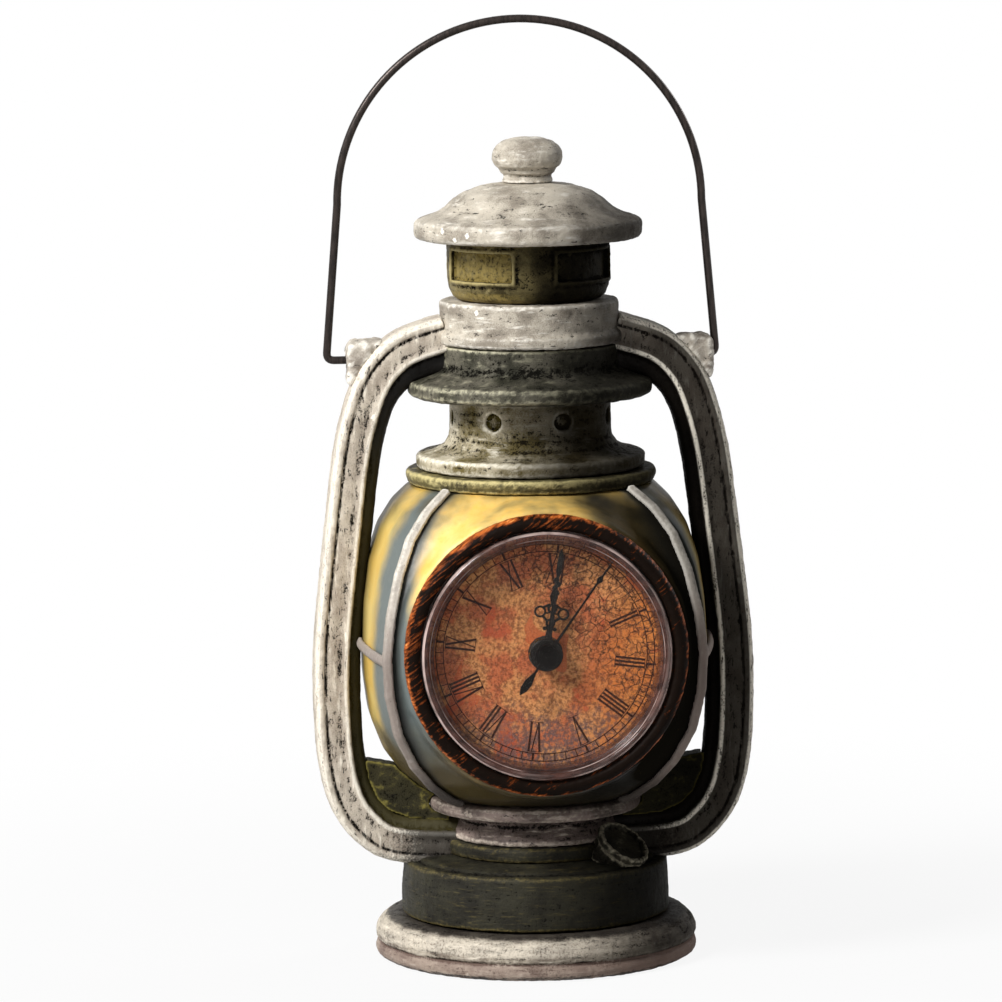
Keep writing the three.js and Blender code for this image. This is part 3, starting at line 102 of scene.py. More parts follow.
def flowing(rows: Sequence[Sequence[float]], steps: int) -> list[tuple[float, ...]]:
    """A smooth line through rows of numbers.

    Args:
        rows: the points that the line passes through.
        steps: how many runs it has between two rows.

    Returns:
        The rows of the finer line.
    """
    padded = [rows[0], *rows, rows[-1]]
    fine: list[tuple[float, ...]] = []
    for corners in zip(padded, padded[1:], padded[2:], padded[3:]):
        for t in (i / steps for i in range(steps)):
            fine.append(tuple(
                0.5 * (2 * q + (r - p) * t + (2 * p - 5 * q + 4 * r - s) * t * t + (3 * q - p - 3 * r + s) * t ** 3)
                for p, q, r, s in zip(*corners)))
    fine.append(tuple(rows[-1]))
    return fine


class Bench:
    """The modelling steps that every piece goes through, one piece in hand at a time. Sizes are in mm."""

    @staticmethod
    def hold(*pieces: Piece) -> None:
        """Put everything down, then select only these pieces and take the first in hand."""
        if bpy.context.mode != "OBJECT":
            bpy.ops.object.mode_set(mode="OBJECT")
        bpy.ops.object.select_all(action="DESELECT")
        for piece in pieces:
            piece.select_set(True)
        if pieces:
            bpy.context.view_layer.objects.active = pieces[0]

    @staticmethod
    def edit(action: str = "SELECT") -> None:
        """Open the piece in hand for editing with all its points selected, or none."""
        bpy.ops.object.mode_set(mode="EDIT")
        bpy.ops.mesh.select_mode(type="VERT")
        bpy.ops.mesh.select_all(action=action)

    @staticmethod
    def named(name: str) -> Piece:
        """Name the piece in hand, and its mesh after it."""
        piece = bpy.context.active_object
        piece.name = name
        piece.data.name = name
        return piece

    @classmethod
    def line(cls, name: str, points: Sequence[Triple], closed: bool = False) -> Piece:
        """Draw a line of edges by extruding one point along the others.

        Args:
            name: the piece's name.
            points: the line's corners.
            closed: whether the last corner is joined to the first.

        Returns:
            The line as a mesh without faces.
        """
        cls.hold()
        bpy.ops.mesh.primitive_plane_add(size=MM)
        piece = cls.named(name)
        cls.edit()
        bpy.ops.mesh.merge(type="CENTER")
        bpy.ops.transform.translate(value=Vector(points[0]) * MM)
        for before, after in zip(points, points[1:]):
            step = (Vector(after) - Vector(before)) * MM
            bpy.ops.mesh.extrude_region_move(TRANSFORM_OT_translate={"value": step})
        if closed:
            cls.pick_ends(piece, len(points))
            bpy.ops.mesh.edge_face_add()
        bpy.ops.object.mode_set(mode="OBJECT")
        return piece

    @classmethod
    def pick_ends(cls, piece: Piece, count: int) -> None:
        """Select the first and the last point of a line, and open it for editing."""
        cls.edit("DESELECT")
        bpy.ops.object.mode_set(mode="OBJECT")
        for i in (0, count - 1):
            piece.data.vertices[i].select = True
        bpy.ops.object.mode_set(mode="EDIT")

    @classmethod
    def true_up(cls, piece: Piece) -> Piece:
        """Merge a piece's doubled points and turn its faces outwards."""
        cls.hold(piece)
        cls.edit()
        bpy.ops.mesh.remove_doubles(threshold=WELD)
        bpy.ops.mesh.normals_make_consistent(inside=False)
        bpy.ops.object.mode_set(mode="OBJECT")
        return piece

    @classmethod
    def turn(cls, name: str, profile: Sequence[Pair], steps: int = 96) -> Piece:
        """Spin a profile round the upright axis, as on a lathe.

        Args:
            name: the piece's name.
            profile: radius and height of each corner. It starts and ends on the axis, or is closed.
            steps: how many faces go round.

        Returns:
            The turned solid.
        """
        on_axis = profile[0][0] == 0 and profile[-1][0] == 0
        piece = cls.line(name, [(r, 0, z) for r, z in profile], closed=not on_axis)
        cls.edit()
        bpy.ops.mesh.spin(steps=steps, angle=math.tau, center=(0, 0, 0), axis=(0, 0, 1))
        return cls.true_up(piece)

    @classmethod
    def disc(cls, name: str, radius: float, low: float, high: float, steps: int = 96) -> Piece:
        """Turn a plain round solid between two levels, for cutting or for growing into another."""
        return cls.turn(name, ((0.0, low), (radius, low), (radius, high), (0.0, high)), steps)

    @classmethod
    def plate(cls, name: str, outline: Sequence[Pair], low: float, high: float) -> Piece:
        """Fill an outline in x and y and extrude it from one level to another."""
        piece = cls.line(name, [(x, y, low) for x, y in outline], closed=True)
        cls.edit()
        bpy.ops.mesh.edge_face_add()
        bpy.ops.mesh.extrude_region_move(TRANSFORM_OT_translate={"value": (0, 0, (high - low) * MM)})
        return cls.true_up(piece)

    @classmethod
    def stroke(cls, name: str, start: Pair, end: Pair, width: float, low: float, high: float) -> Piece:
        """Lay one flat stroke of a width from point to point, between two levels."""
        first, last = Vector(start), Vector(end)
        run = last - first
        side = Vector((-run.y, run.x)).normalized() * width / 2
        corners = (first + side, first - side, last - side, last + side)
        return cls.plate(name, [tuple(corner) for corner in corners], low, high)

    @classmethod
    def drill(cls, name: str, radius: float, length: float, turn: Triple, place: Triple, steps: int) -> Piece:
        """A round cutter about a place, turned by degrees from upright."""
        cls.hold()
        bpy.ops.mesh.primitive_cylinder_add(
            vertices=steps, radius=radius * MM, depth=length * MM, location=Vector(place) * MM,
            rotation=[math.radians(a) for a in turn])
        bpy.ops.object.transform_apply(location=True, rotation=True, scale=True)
        return cls.named(name)

    @classmethod
    def sweep(cls, name: str, path: Sequence[Triple], section: Sequence[Pair]) -> Piece:
        """Carry a closed section along a path.

        Args:
            name: the piece's name.
            path: the points that the section follows.
            section: the section's corners, across and outwards.

        Returns:
            The swept solid with closed ends.
        """
        outline, piece = (cls.line(word, points) for word, points in (
            (name + "_section", [(x, y, 0) for x, y in section]), (name, path)))
        for wire in (outline, piece):
            cls.hold(wire)
            bpy.ops.object.convert(target="CURVE")
        outline.data.splines[0].use_cyclic_u = True
        piece.data.twist_mode = "MINIMUM"
        piece.data.bevel_mode = "OBJECT"
        piece.data.bevel_object = outline
        piece.data.use_fill_caps = True
        bpy.ops.object.convert(target="MESH")
        bpy.data.objects.remove(outline)
        return cls.true_up(cls.named(name))

    @classmethod
    def finish(cls, piece: Piece, kind: str, **settings: object) -> Piece:
        """Give a piece one modifier with these settings and apply it."""
        cls.hold(piece)
        modifier = piece.modifiers.new(kind.lower(), kind)
        for key, value in settings.items():
            setattr(modifier, key, value)
        bpy.ops.object.modifier_apply(modifier=modifier.name)
        return piece

    @classmethod
    def remesh(cls, piece: Piece, grain: float) -> Piece:
        """Give a piece one closed skin of even small faces, which joins what overlaps in it."""
        return cls.finish(piece, "REMESH", mode="VOXEL", voxel_size=grain * MM, use_smooth_shade=True)

    @classmethod
    def ease(cls, piece: Piece, width: float, angle: float = 20) -> Piece:
        """Round a piece's edges that are sharper than an angle."""
        return cls.finish(piece, "BEVEL", width=width * MM, segments=3, limit_method="ANGLE",
                          angle_limit=math.radians(angle))

    @classmethod
    def cut(cls, piece: Piece, *cutters: Piece, operation: str = "DIFFERENCE") -> Piece:
        """Cut a piece with others, which are then gone."""
        for cutter in cutters:
            cls.finish(piece, "BOOLEAN", object=cutter, operation=operation, solver="EXACT")
            bpy.data.objects.remove(cutter)
        return piece

    @classmethod
    def gather(cls, name: str, pieces: Sequence[Piece]) -> Piece:
        """Join pieces into one mesh without cutting them."""
        cls.hold(*pieces)
        bpy.ops.object.join()
        return cls.named(name)

    @classmethod
    def settle(cls, piece: Piece, turn: Triple = (0, 0, 0), move: Triple = (0, 0, 0), side: int = 1) -> Piece:
        """Turn a piece by degrees, move it, mirror it where side is -1, and put all that into its mesh."""
        cls.hold(piece)
        piece.scale.x = side
        piece.rotation_euler = Euler([math.radians(a) for a in turn])
        piece.location = Vector(move) * MM
        bpy.ops.object.transform_apply(location=True, rotation=True, scale=True)
        return piece

    @classmethod
    def stand(cls, piece: Piece, turn: float = 0.0, place: float = -DIAL_FACE) -> Piece:
        """Turn a piece that was made flat by degrees, and stand it on the clock's axis at a place along y."""
        return cls.settle(cls.settle(piece, (0, 0, turn)), (90, 0, 0), (0, place, CLOCK_HEIGHT))

    @classmethod
    def smooth(cls, piece: Piece, angle: float = 35) -> Piece:
        """Shade a piece smooth but for its sharp edges."""
        cls.hold(piece)
        bpy.ops.object.shade_smooth_by_angle(angle=math.radians(angle))
        return piece

    @classmethod
    def take_copy(cls, node: str) -> Piece:
        """Copy a node's solid to work on, with its points merged."""
        cls.hold()
        piece = frame["nodes"][node].copy()
        piece.data = frame["nodes"][node].data.copy()
        piece.parent = None
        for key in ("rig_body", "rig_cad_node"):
            if key in piece:
                del piece[key]
        bpy.context.scene.collection.objects.link(piece)
        piece.name = piece.data.name = node.replace("_", "-")
        piece.data.materials.clear()
        return cls.true_up(piece)


@dataclass(frozen=True)
class Casting:
    """How rough a poured and filed casting comes out.

    Fields are the mesh size, the passes that round it, the height and breadth of its lumps, the depth and breadth
    of its pits, and how much it swells, in mm.
    """

    grain: float = 0.6
    passes: int = 1
    relief: float = 0.38
    breadth: float = 4.0
    pitting: float = 0.26
    swell: float = 0.0
    pit_breadth: float = 1.3

    def pour(self, piece: Piece) -> Piece:
        """Give a piece an even fine mesh and a slightly uneven skin."""
        Bench.remesh(piece, self.grain)
        if self.swell:
            Bench.finish(piece, "DISPLACE", strength=self.swell * MM, mid_level=0.0)
        Bench.finish(piece, "SMOOTH", factor=0.5, iterations=self.passes)
        for kind, height, breadth in (("lumps", self.relief, self.breadth), ("pits", self.pitting, self.pit_breadth)):
            skin = bpy.data.textures.new(f"{piece.name}_{kind}", "CLOUDS")
            skin.noise_scale = breadth * MM
            skin.noise_depth = 2
            Bench.finish(piece, "DISPLACE", texture=skin, texture_coords="LOCAL", strength=height * MM,
                         mid_level=0.5)
        return piece

    def recast(self, node: str, finish: "Finish", slot: str, *cutters: Piece) -> None:
        """Pour a copy of a node's solid over again, cut it and let it stand for the node."""
        piece = Bench.cut(self.pour(Bench.take_copy(node)), *cutters)
        hand_over(piece, finish, Body.LANTERN, slot, node)


def swatch(red: int, green: int, blue: int) -> Colour:
    """A colour card's values from 0 to 255, as the shaders take them."""
    linear = [v / 3294.6 if v <= 10 else ((v / 255 + 0.055) / 1.055) ** 2.4 for v in (red, green, blue)]
    return (linear[0], linear[1], linear[2], 1.0)


def feed(socket: Socket, value: object) -> None:
    """Link a socket to a reading, or set its value."""
    if isinstance(value, Reading):
        socket.id_data.links.new(value.socket, socket)
    else:
        socket.default_value = value


class Reading:
    """A number or colour that is worked out at each point of a piece. A sum with one gives another."""

    def __init__(self, socket: Socket) -> None:
        """Take one output of a node."""
        self.socket = socket

    def into(self, kind: str, result: str, values: dict[object, object], **settings: object) -> "Reading":
        """Feed values into a new node and take what comes out.

        Args:
            kind: the kind of node.
            result: the name of the output to take.
            values: what each input gets, by name or number.
            settings: the node's own settings.

        Returns:
            The reading at that output.
        """
        node = self.socket.id_data.nodes.new(kind)
        for key, value in settings.items():
            setattr(node, key, value)
        for key, value in values.items():
            feed(node.inputs[key], value)
        return Reading(node.outputs[result])

    def calc(self, operation: str, other: object = 0.0) -> "Reading":
        """One sum with another value."""
        return self.into("ShaderNodeMath", "Value", {0: self, 1: other}, operation=operation)

    __add__ = __radd__ = partialmethod(calc, "ADD")
    __sub__ = partialmethod(calc, "SUBTRACT")
    __mul__ = __rmul__ = partialmethod(calc, "MULTIPLY")
    __truediv__ = partialmethod(calc, "DIVIDE")
    __abs__ = partialmethod(calc, "ABSOLUTE")

    def beside(self, other: "Reading") -> "Reading":
        """How far a point lies from the origin of this coordinate and another."""
        return (self * self + other * other).calc("SQRT")

    def step(self, low: float, high: float) -> "Reading":
        """A soft step that is 0 at one value of this reading and 1 at another, in either order."""
        ends = (low, high, 0.0, 1.0) if low < high else (high, low, 1.0, 0.0)
        return self.into("ShaderNodeMapRange", "Result", {
            "Value": self, **dict(zip(("From Min", "From Max", "To Min", "To Max"), ends))},
            interpolation_type="SMOOTHSTEP")

    def between(self, first: object, second: object) -> "Reading":
        """The colour between two others, by this share of the second."""
        return self.into("ShaderNodeMixRGB", "Color", {"Fac": self, "Color1": first, "Color2": second})

    def coat(self, over: object, share: "Reading") -> "Reading":
        """This colour under a share of another."""
        return share.between(self, over)

    def divided(self, size: Sequence[float], turn: Triple = (0, 0, 0)) -> "Reading":
        """These coordinates turned by degrees and divided by a size along each axis."""
        turned = self.into("ShaderNodeMapping", "Vector", {
            "Vector": self, "Rotation": [math.radians(a) for a in turn]})
        return turned.into("ShaderNodeMapping", "Vector", {"Vector": turned, "Scale": [1 / s for s in size]})


class Mixture:
    """A paint or material that is mixed step by step. Lengths are in mm on the piece itself."""

    def __init__(self, name: str) -> None:
        """Start a plain material with this name."""
        self.material = bpy.data.materials.new(name)
        self.material.use_nodes = True
        self.tree = self.material.node_tree
        self.surface = self.tree.nodes["Principled BSDF"]
        self.where = self.take("ShaderNodeTexCoord", "Object").divided((MM, MM, MM))
        self.raised = self.take("ShaderNodeNewGeometry", "Pointiness") - 0.5

    def take(self, kind: str, result: str, **settings: object) -> Reading:
        """One output of a new node that needs nothing fed into it."""
        node = self.tree.nodes.new(kind)
        for key, value in settings.items():
            setattr(node, key, value)
        return Reading(node.outputs[result])

    def noise(self, size: float | Triple, detail: float = 3, rough: float = 0.55, twist: float = 0,
              turn: Triple = (0, 0, 0)) -> Reading:
        """Cloudy noise.

        Args:
            size: breadth of its clouds, one number or one along each axis.
            detail: how many finer layers it has.
            rough: how strong the finer layers are.
            twist: how much it is warped.
            turn: turn of its axes by degrees.

        Returns:
            The noise from 0 to 1.
        """
        sizes = size if isinstance(size, tuple) else (size, size, size)
        return self.where.into("ShaderNodeTexNoise", "Fac", {
            "Vector": self.where.divided(sizes, turn), "Scale": 1.0, "Detail": detail, "Roughness": rough,
            "Distortion": twist})

    def cells(self, size: float) -> Reading:
        """Distance to the edges of cells of this size, with crooked edges."""
        places = self.where.divided((size, size, size))
        crooked = places.into("ShaderNodeMixRGB", "Color", {
            "Fac": 1.0, "Color1": places, "Color2": self.noise(size / 2) * 0.8}, blend_type="ADD")
        return crooked.into("ShaderNodeTexVoronoi", "Distance", {"Vector": crooked, "Scale": 1.0},
                            feature="DISTANCE_TO_EDGE")

    def axes(self) -> tuple[Reading, Reading, Reading]:
        """The three coordinates on the piece, in mm."""
        return tuple(self.where.into("ShaderNodeSeparateXYZ", axis, {"Vector": self.where}) for axis in "XYZ")

    def from_clock(self) -> Reading:
        """Distance from the clock's axis, in mm."""
        x, _, z = self.axes()
        return x.beside(z - CLOCK_HEIGHT)

    def bumps(self, height: Reading, depth: float) -> None:
        """Raise and sink the surface by a height from 0 to 1, this deep."""
        feed(self.surface.inputs["Normal"], height.into("ShaderNodeBump", "Normal", {
            "Height": height, "Distance": depth * MM}))

    def spread(self, colour: object, roughness: object, shine: object = 0.5, **settings: object) -> None:
        """Give the surface its colour, roughness, shine and other sockets by name."""
        for key, value in {"Base Color": colour, "Roughness": roughness, "Specular IOR Level": shine}.items():
            feed(self.surface.inputs[key], value)
        for key, value in settings.items():
            feed(self.surface.inputs[key.title()], value)


class Finish:
    """A finish that makes its material the first time that a piece asks for it."""

    name: str

    def mix(self, mixture: Mixture) -> None:
        """Mix this finish's material."""
        raise NotImplementedError

    def material(self) -> bpy.types.Material:
        """The material of this finish."""
        if self.name not in bpy.data.materials:
            self.mix(Mixture(self.name))
        return bpy.data.materials[self.name]


@dataclass(frozen=True)
class DryBrushed(Finish):
    """Paint dragged over a dark coat: it catches the raised places and misses the hollows.

    Fields are the coats' colours, the size of the brush strokes and specks in mm, how much of the dark coat is
    covered, how strongly edges catch the paint, the depth and the span along x in mm of the painted shade to the
    right, and the gloss, depth, chips, wear and light strokes of the coats.
    """

    name: str
    under: Colour
    body: Colour
    tint: Colour
    light: Colour
    stroke: Triple = (9.0, 9.0, 1.6)
    speck: float = 0.55
    cover: float = 0.4
    catch: float = 5.0
    edge: float = 0.05
    roughness: float = 0.5
    # depth and span along x of the painted shade to the right
    shade_depth: float = 0.7
    right_shade: Pair = (-2.0, 34.0)
    depth: float = 0.3
    gloss: float = 0.2
    chip: Triple = (2.6, 2.6, 1.1)
    wear: float = 0.0
    hatch: float = 1.0

    def further(self, mixture: Mixture, colour: Reading) -> Reading:
        """Any further coat that one casting gets over the common ones."""
        return colour

    def mix(self, mixture: Mixture) -> None:
        """Mix the dark coat, the strokes over it, the bright edges and the painted shade to the right."""
        strokes = mixture.noise(self.stroke, detail=5, rough=0.65)
        specks = mixture.noise(self.speck, rough=0.7)
        patches = mixture.noise(10.0, detail=2)
        raised = mixture.raised
        covered = (strokes * 0.95 + specks * 1.05 + raised * self.catch + (self.cover - 1.0)).step(-0.04, 0.14)
        body = (patches * 0.6 + specks * 0.4).step(0.4, 0.62).between(self.body, self.tint)
        hatched = body.coat(self.light, strokes.step(0.54, 0.76) * self.hatch)
        edges = raised + (specks + strokes) * self.edge
        hollows = raised + specks * 0.06
        chips = mixture.noise(self.chip, detail=4, rough=0.75, twist=0.4) + strokes * 0.35
        x, y, _ = mixture.axes()
        # painted shade: the colour darkens to the right and the shine drops with it
        painted_right_shade = (x + y * -0.15 + (patches + strokes) * 12.0 - 12.0).step(*self.right_shade)
        colour = covered.between(self.under, hatched)
        colour = colour.coat(self.light, edges.step(1.15 * self.edge, 2.2 * self.edge))
        colour = colour.coat(self.under, hollows.step(0.005, -0.03) * 0.85)
        colour = colour.coat(self.under, chips.step(0.52 - self.wear, 0.49 - self.wear) * 0.9)
        colour = self.further(mixture, colour.coat(self.under, painted_right_shade * self.shade_depth))
        rough = covered.step(1.0, 0.0) * 0.22 + specks * 0.1 + self.roughness
        mixture.spread(colour, rough, (covered * self.gloss + 0.03) * (painted_right_shade * -0.9 + 1.0))
        mixture.bumps(strokes * 0.45 + specks * 0.6 + covered * 0.35, self.depth)


@dataclass(frozen=True)
class FootPaint(DryBrushed):
    """The foot's paint: a painted shadow of the tank on its top, a painted highlight on the roll, and mauve below the
    groove, partly painted shade.

    Fields are the tint, and the heights in mm between which the band, the roll's painted highlight, the tank's
    painted shadow and the worn edge fade.
    """

    mauve: Colour = swatch(138, 116, 106)
    band: Pair = (5.6, 4.9)
    roll: tuple[Pair, Pair] = ((6.6, 8.0), (12.6, 11.2))
    # heights over which the painted shadow of the tank comes in on the top
    seat: Pair = (11.4, 12.5)
    worn: Pair = (1.7, 1.2)

    def further(self, mixture: Mixture, colour: Reading) -> Reading:
        """Paint a highlight on the roll, tint the lower band, partly as painted shade, paint the tank's shadow on the
        top and blacken the worn lower edge.
        """
        x, _, z = mixture.axes()
        specks = mixture.noise(0.7, detail=4, rough=0.75)
        streaks = mixture.noise((5.0, 5.0, 0.8), detail=4, rough=0.7)
        ragged = z + (specks + streaks) * 1.6 - 1.6
        # painted highlight on the roll, strongest on the left
        lit = (x + streaks * 20.0).step(40.0, 0.0) * specks.step(0.36, 0.5)
        low, high = self.roll
        # mauve band below the groove, partly painted shade
        colour = colour.coat(self.mauve, z.step(*self.band) * 0.6)
        colour = colour.coat(self.light, ragged.step(*low) * ragged.step(*high) * lit * 0.5)
        # painted shadow of the tank on the foot's top
        colour = colour.coat(self.under, ragged.step(*self.seat) * 0.9)
        return colour.coat(self.under, ragged.step(*self.worn) * streaks.step(0.44, 0.54) * 0.9)


@dataclass(frozen=True)
class TubePaint(DryBrushed):
    """The tubes' paint: silver on the strap with its two edges brightest, and black to olive on the inner side, kept
    black on the right tube as painted shade.

    Fields are the olive colour, the offsets and widths of the bright edges and the groove, and the places in mm
    between which the inner side, the dark ends and the olive of the lining fade.
    """

    olive: Colour = swatch(66, 60, 32)
    edges: tuple[Pair, ...] = ((5.3, 1.0), (-3.6, 0.9))
    groove: Pair = (2.7, 0.6)
    inner: Pair = (-4.2, -4.7)
    ends: Pair = (58.0, 46.0)
    green_olive: Pair = (172.0, 128.0)

    def near(self, offset: Reading, line: float, width: float) -> Reading:
        """How near a point is to a line at this offset, 1 on it and 0 from its width on."""
        return abs(offset - line).step(width, width * 0.4)

    def further(self, mixture: Mixture, colour: Reading) -> Reading:
        """Brighten the edges, blacken the groove and the ends, and line the inner side olive low down on the left and
        black elsewhere, the black on the right tube being painted shade.
        """
        offset = mixture.take("ShaderNodeAttribute", "Fac", attribute_name="outward")
        x, _, z = mixture.axes()
        streaks = mixture.noise((0.9, 0.9, 6.0), detail=4, rough=0.7)
        specks = mixture.noise(0.6, rough=0.7)
        worn = (streaks * 0.6 + specks * 0.4).step(0.4, 0.5)
        for line, width in self.edges:
            colour = colour.coat(self.light, self.near(offset, line, width) * worn * 0.75)
        colour = colour.coat(self.under, self.near(offset, *self.groove) * streaks.step(0.42, 0.52) * 0.9)
        end = abs(x) + specks * 22.0 + z.step(55.0, 75.0) * 60.0
        colour = colour.coat(self.under, end.step(*self.ends) * 0.88)
        # the lining is olive lower down on the left tube and black higher up and on the right tube; the black on the
        # right is painted shade
        olive_share = z.step(*self.green_olive) * (mixture.noise(9.0) * 40.0 - x).step(-10.0, 40.0)
        lining = (olive_share * 0.8).between(self.under, self.olive)
        return colour.coat(lining, (offset + streaks - 0.5).step(*self.inner))


@dataclass(frozen=True)
class StrapPaint(DryBrushed):
    """The guard's paint: silver at the top, with painted shade turning it mauve-grey further down and black at the
    foot.

    Fields are the grey of the painted shade, and the heights in mm between which it and the black come in.
    """

    mauve: Colour = swatch(122, 108, 101)
    greyed: Pair = (128.0, 94.0)
    blackened: Pair = (66.0, 53.0)

    def further(self, mixture: Mixture, colour: Reading) -> Reading:
        """Paint shade on the straps: grey downwards and black at their lower ends."""
        height = mixture.axes()[2] + mixture.noise(1.6, detail=4, rough=0.7) * 4.0 - 2.0
        # painted shade: greyer and then black lower down, where the straps turn under the globe
        colour = colour.coat(self.mauve, height.step(*self.greyed) * 0.8)
        return colour.coat(self.under, height.step(*self.blackened) * 0.8)


@dataclass(frozen=True)
class PanelledPaint(DryBrushed):
    """A casting's paint, with its sunk panels filled with a lighter colour on the left as painted light.

    Fields are the colour of that painted light, the radius of the panels' floor, and the places along x between which
    it fades, in mm.
    """

    panel: Colour = swatch(142, 124, 70)
    floor: float = 23.55
    lit: Pair = (8.0, -4.0)

    def further(self, mixture: Mixture, colour: Reading) -> Reading:
        """Fill the sunk panels with painted light in patches, less and less to the right."""
        x, y, _ = mixture.axes()
        sunk = x.beside(y).step(self.floor + 0.25, self.floor - 0.1)
        # painted light on the sunk panels, strongest on the left and broken into patches
        lit = (x + mixture.noise(5.0) * 14.0).step(*self.lit)
        light_patches = mixture.noise(1.4, detail=4, rough=0.7).step(0.35, 0.55)
        return colour.coat(self.panel, sunk * lit * light_patches * 0.75)


@dataclass(frozen=True)
class AirbrushedGlobe(Finish):
    """The globe's airbrushed coats: yellow in the middle of each pane, blue-grey beside the ribs, with painted shade
    on the right, below and right of the clock, under the gallery, along the seams and in the hollows, and a painted
    shadow of the tubes on the side panes.
    """

    name: str = "airbrushed_globe"
    yellow: Colour = swatch(238, 190, 92)
    pale: Colour = swatch(246, 214, 134)
    slate: Colour = swatch(96, 104, 102)
    green_olive: Colour = swatch(140, 132, 66)
    olive: Colour = swatch(72, 60, 26)
    # the dark colour of the painted shade
    shade_colour: Colour = swatch(20, 18, 14)
    low: float = 49.2
    high: float = 143.8

    def mix(self, mixture: Mixture) -> None:
        """Mix the coats and the painted shade by the place on the pane and the height."""
        x, y, z = mixture.axes()
        across, along = abs(x), abs(y)
        ratio = across.calc("MINIMUM", along) / across.calc("MAXIMUM", along)
        clouds = mixture.noise(16.0)
        mottle = mixture.noise(2.4, detail=4, rough=0.65)
        grain = mixture.noise(0.6, detail=2)
        rise = z.step(self.low, self.high)
        side = (across - along).step(-1.0, 1.0)
        front = y.step(-24.0, -36.0)
        lower = z.step(122.0, 84.0)
        edge = ratio + clouds * 0.22 + mottle * 0.06 + lower * 0.26 + side * 0.28 + side * lower * -0.24 - 0.15
        reach = x + clouds * 6.0 + mixture.from_clock() * 0.9 + 3.0
        shaded = front * reach.step(46.0, 66.0)
        right_shade = (x + clouds * 10.0).step(14.0, 46.0)
        colour = (clouds * 0.75 + mottle * 0.25).step(0.36, 0.64).between(self.yellow, self.pale)
        for coat, share in (
                (self.green_olive, side * 0.42),  # the side panes
                (self.slate, edge.step(0.7, 0.96)),  # beside the ribs
                (self.olive, side * ratio.step(0.4, 0.12) * 0.75),  # painted shadow of the tube on the middle of the side panes
                (self.olive, (rise + clouds * -0.3).step(0.1, -0.12)),  # over the cup
                (self.olive, (rise + clouds * 0.16).step(1.05, 1.12)),  # painted shade under the gallery
                (self.olive, front * (z + x * -0.3).step(80.0, 54.0) * 0.85),  # painted shade below the clock, deeper to the right
                (self.shade_colour, (z + x * -0.5 + clouds * -10.0).step(64.0, 44.0) * 0.8),  # painted shade on the lower right
                (self.shade_colour, shaded * 0.95),  # painted shade to the right of the clock
                (self.shade_colour, right_shade * 0.75),  # painted shade on the right side
                (self.shade_colour, ratio.step(0.84, 0.95) * 0.85),  # painted shade along the seams under the ribs
                (self.olive, (mottle + grain * 0.3).step(0.5, 0.3) * 0.25),  # stains
                (self.shade_colour, mixture.raised.step(-0.015, -0.06))):  # painted shade in the hollows
            colour = colour.coat(coat, share)
        # the painted shade on the right and beside the clock also dims the shine
        mixture.spread(colour, mottle * 0.2 + 0.34, right_shade * -0.25 + shaded * -0.2 + 0.35)
        mixture.bumps(mottle * 0.7 + grain * 0.3, 0.1)


@dataclass(frozen=True)
class StreakedCopper(Finish):
    """Copper orange dragged in slanting strokes over black."""

    name: str = "streaked_copper"
    under: Colour = swatch(20, 13, 9)
    rust: Colour = swatch(104, 50, 20)
    copper: Colour = swatch(180, 92, 34)
    light: Colour = swatch(226, 148, 78)
    slant: float = 38.0

    def mix(self, mixture: Mixture) -> None:
        """Mix the black coat and the strokes over it, with painted shade thinning the strokes to the right and at the
        foot.
        """
        x, _, z = mixture.axes()
        strokes = mixture.noise((7.0, 3.0, 0.7), detail=5, rough=0.6, turn=(0, self.slant, 0))
        broad = mixture.noise((16.0, 8.0, 4.0), detail=2, turn=(0, self.slant, 0))
        specks = mixture.noise(0.5, rough=0.7)
        # painted shade: fewer copper strokes towards the lower right
        right = (x + (z - CLOCK_HEIGHT) * -0.6).step(-40.0, 24.0)
        rim = mixture.from_clock().step(40.4, 41.7)
        height = (strokes * 1.9 + broad * 0.9 + specks * 0.5 + right * -0.16 + rim * 0.38
                  + mixture.raised * 2.0 - 1.39)
        colour = height.step(0.36, 0.52).between(self.under, self.rust)
        colour = colour.coat(self.copper, height.step(0.58, 0.78))
        colour = colour.coat(self.light, height.step(0.86, 1.02))
        mixture.spread(colour, specks * 0.25 + 0.4, height.step(0.4, 0.9) * 0.16 + 0.03)
        mixture.bumps(strokes * 0.7 + specks * 0.3, 0.12)


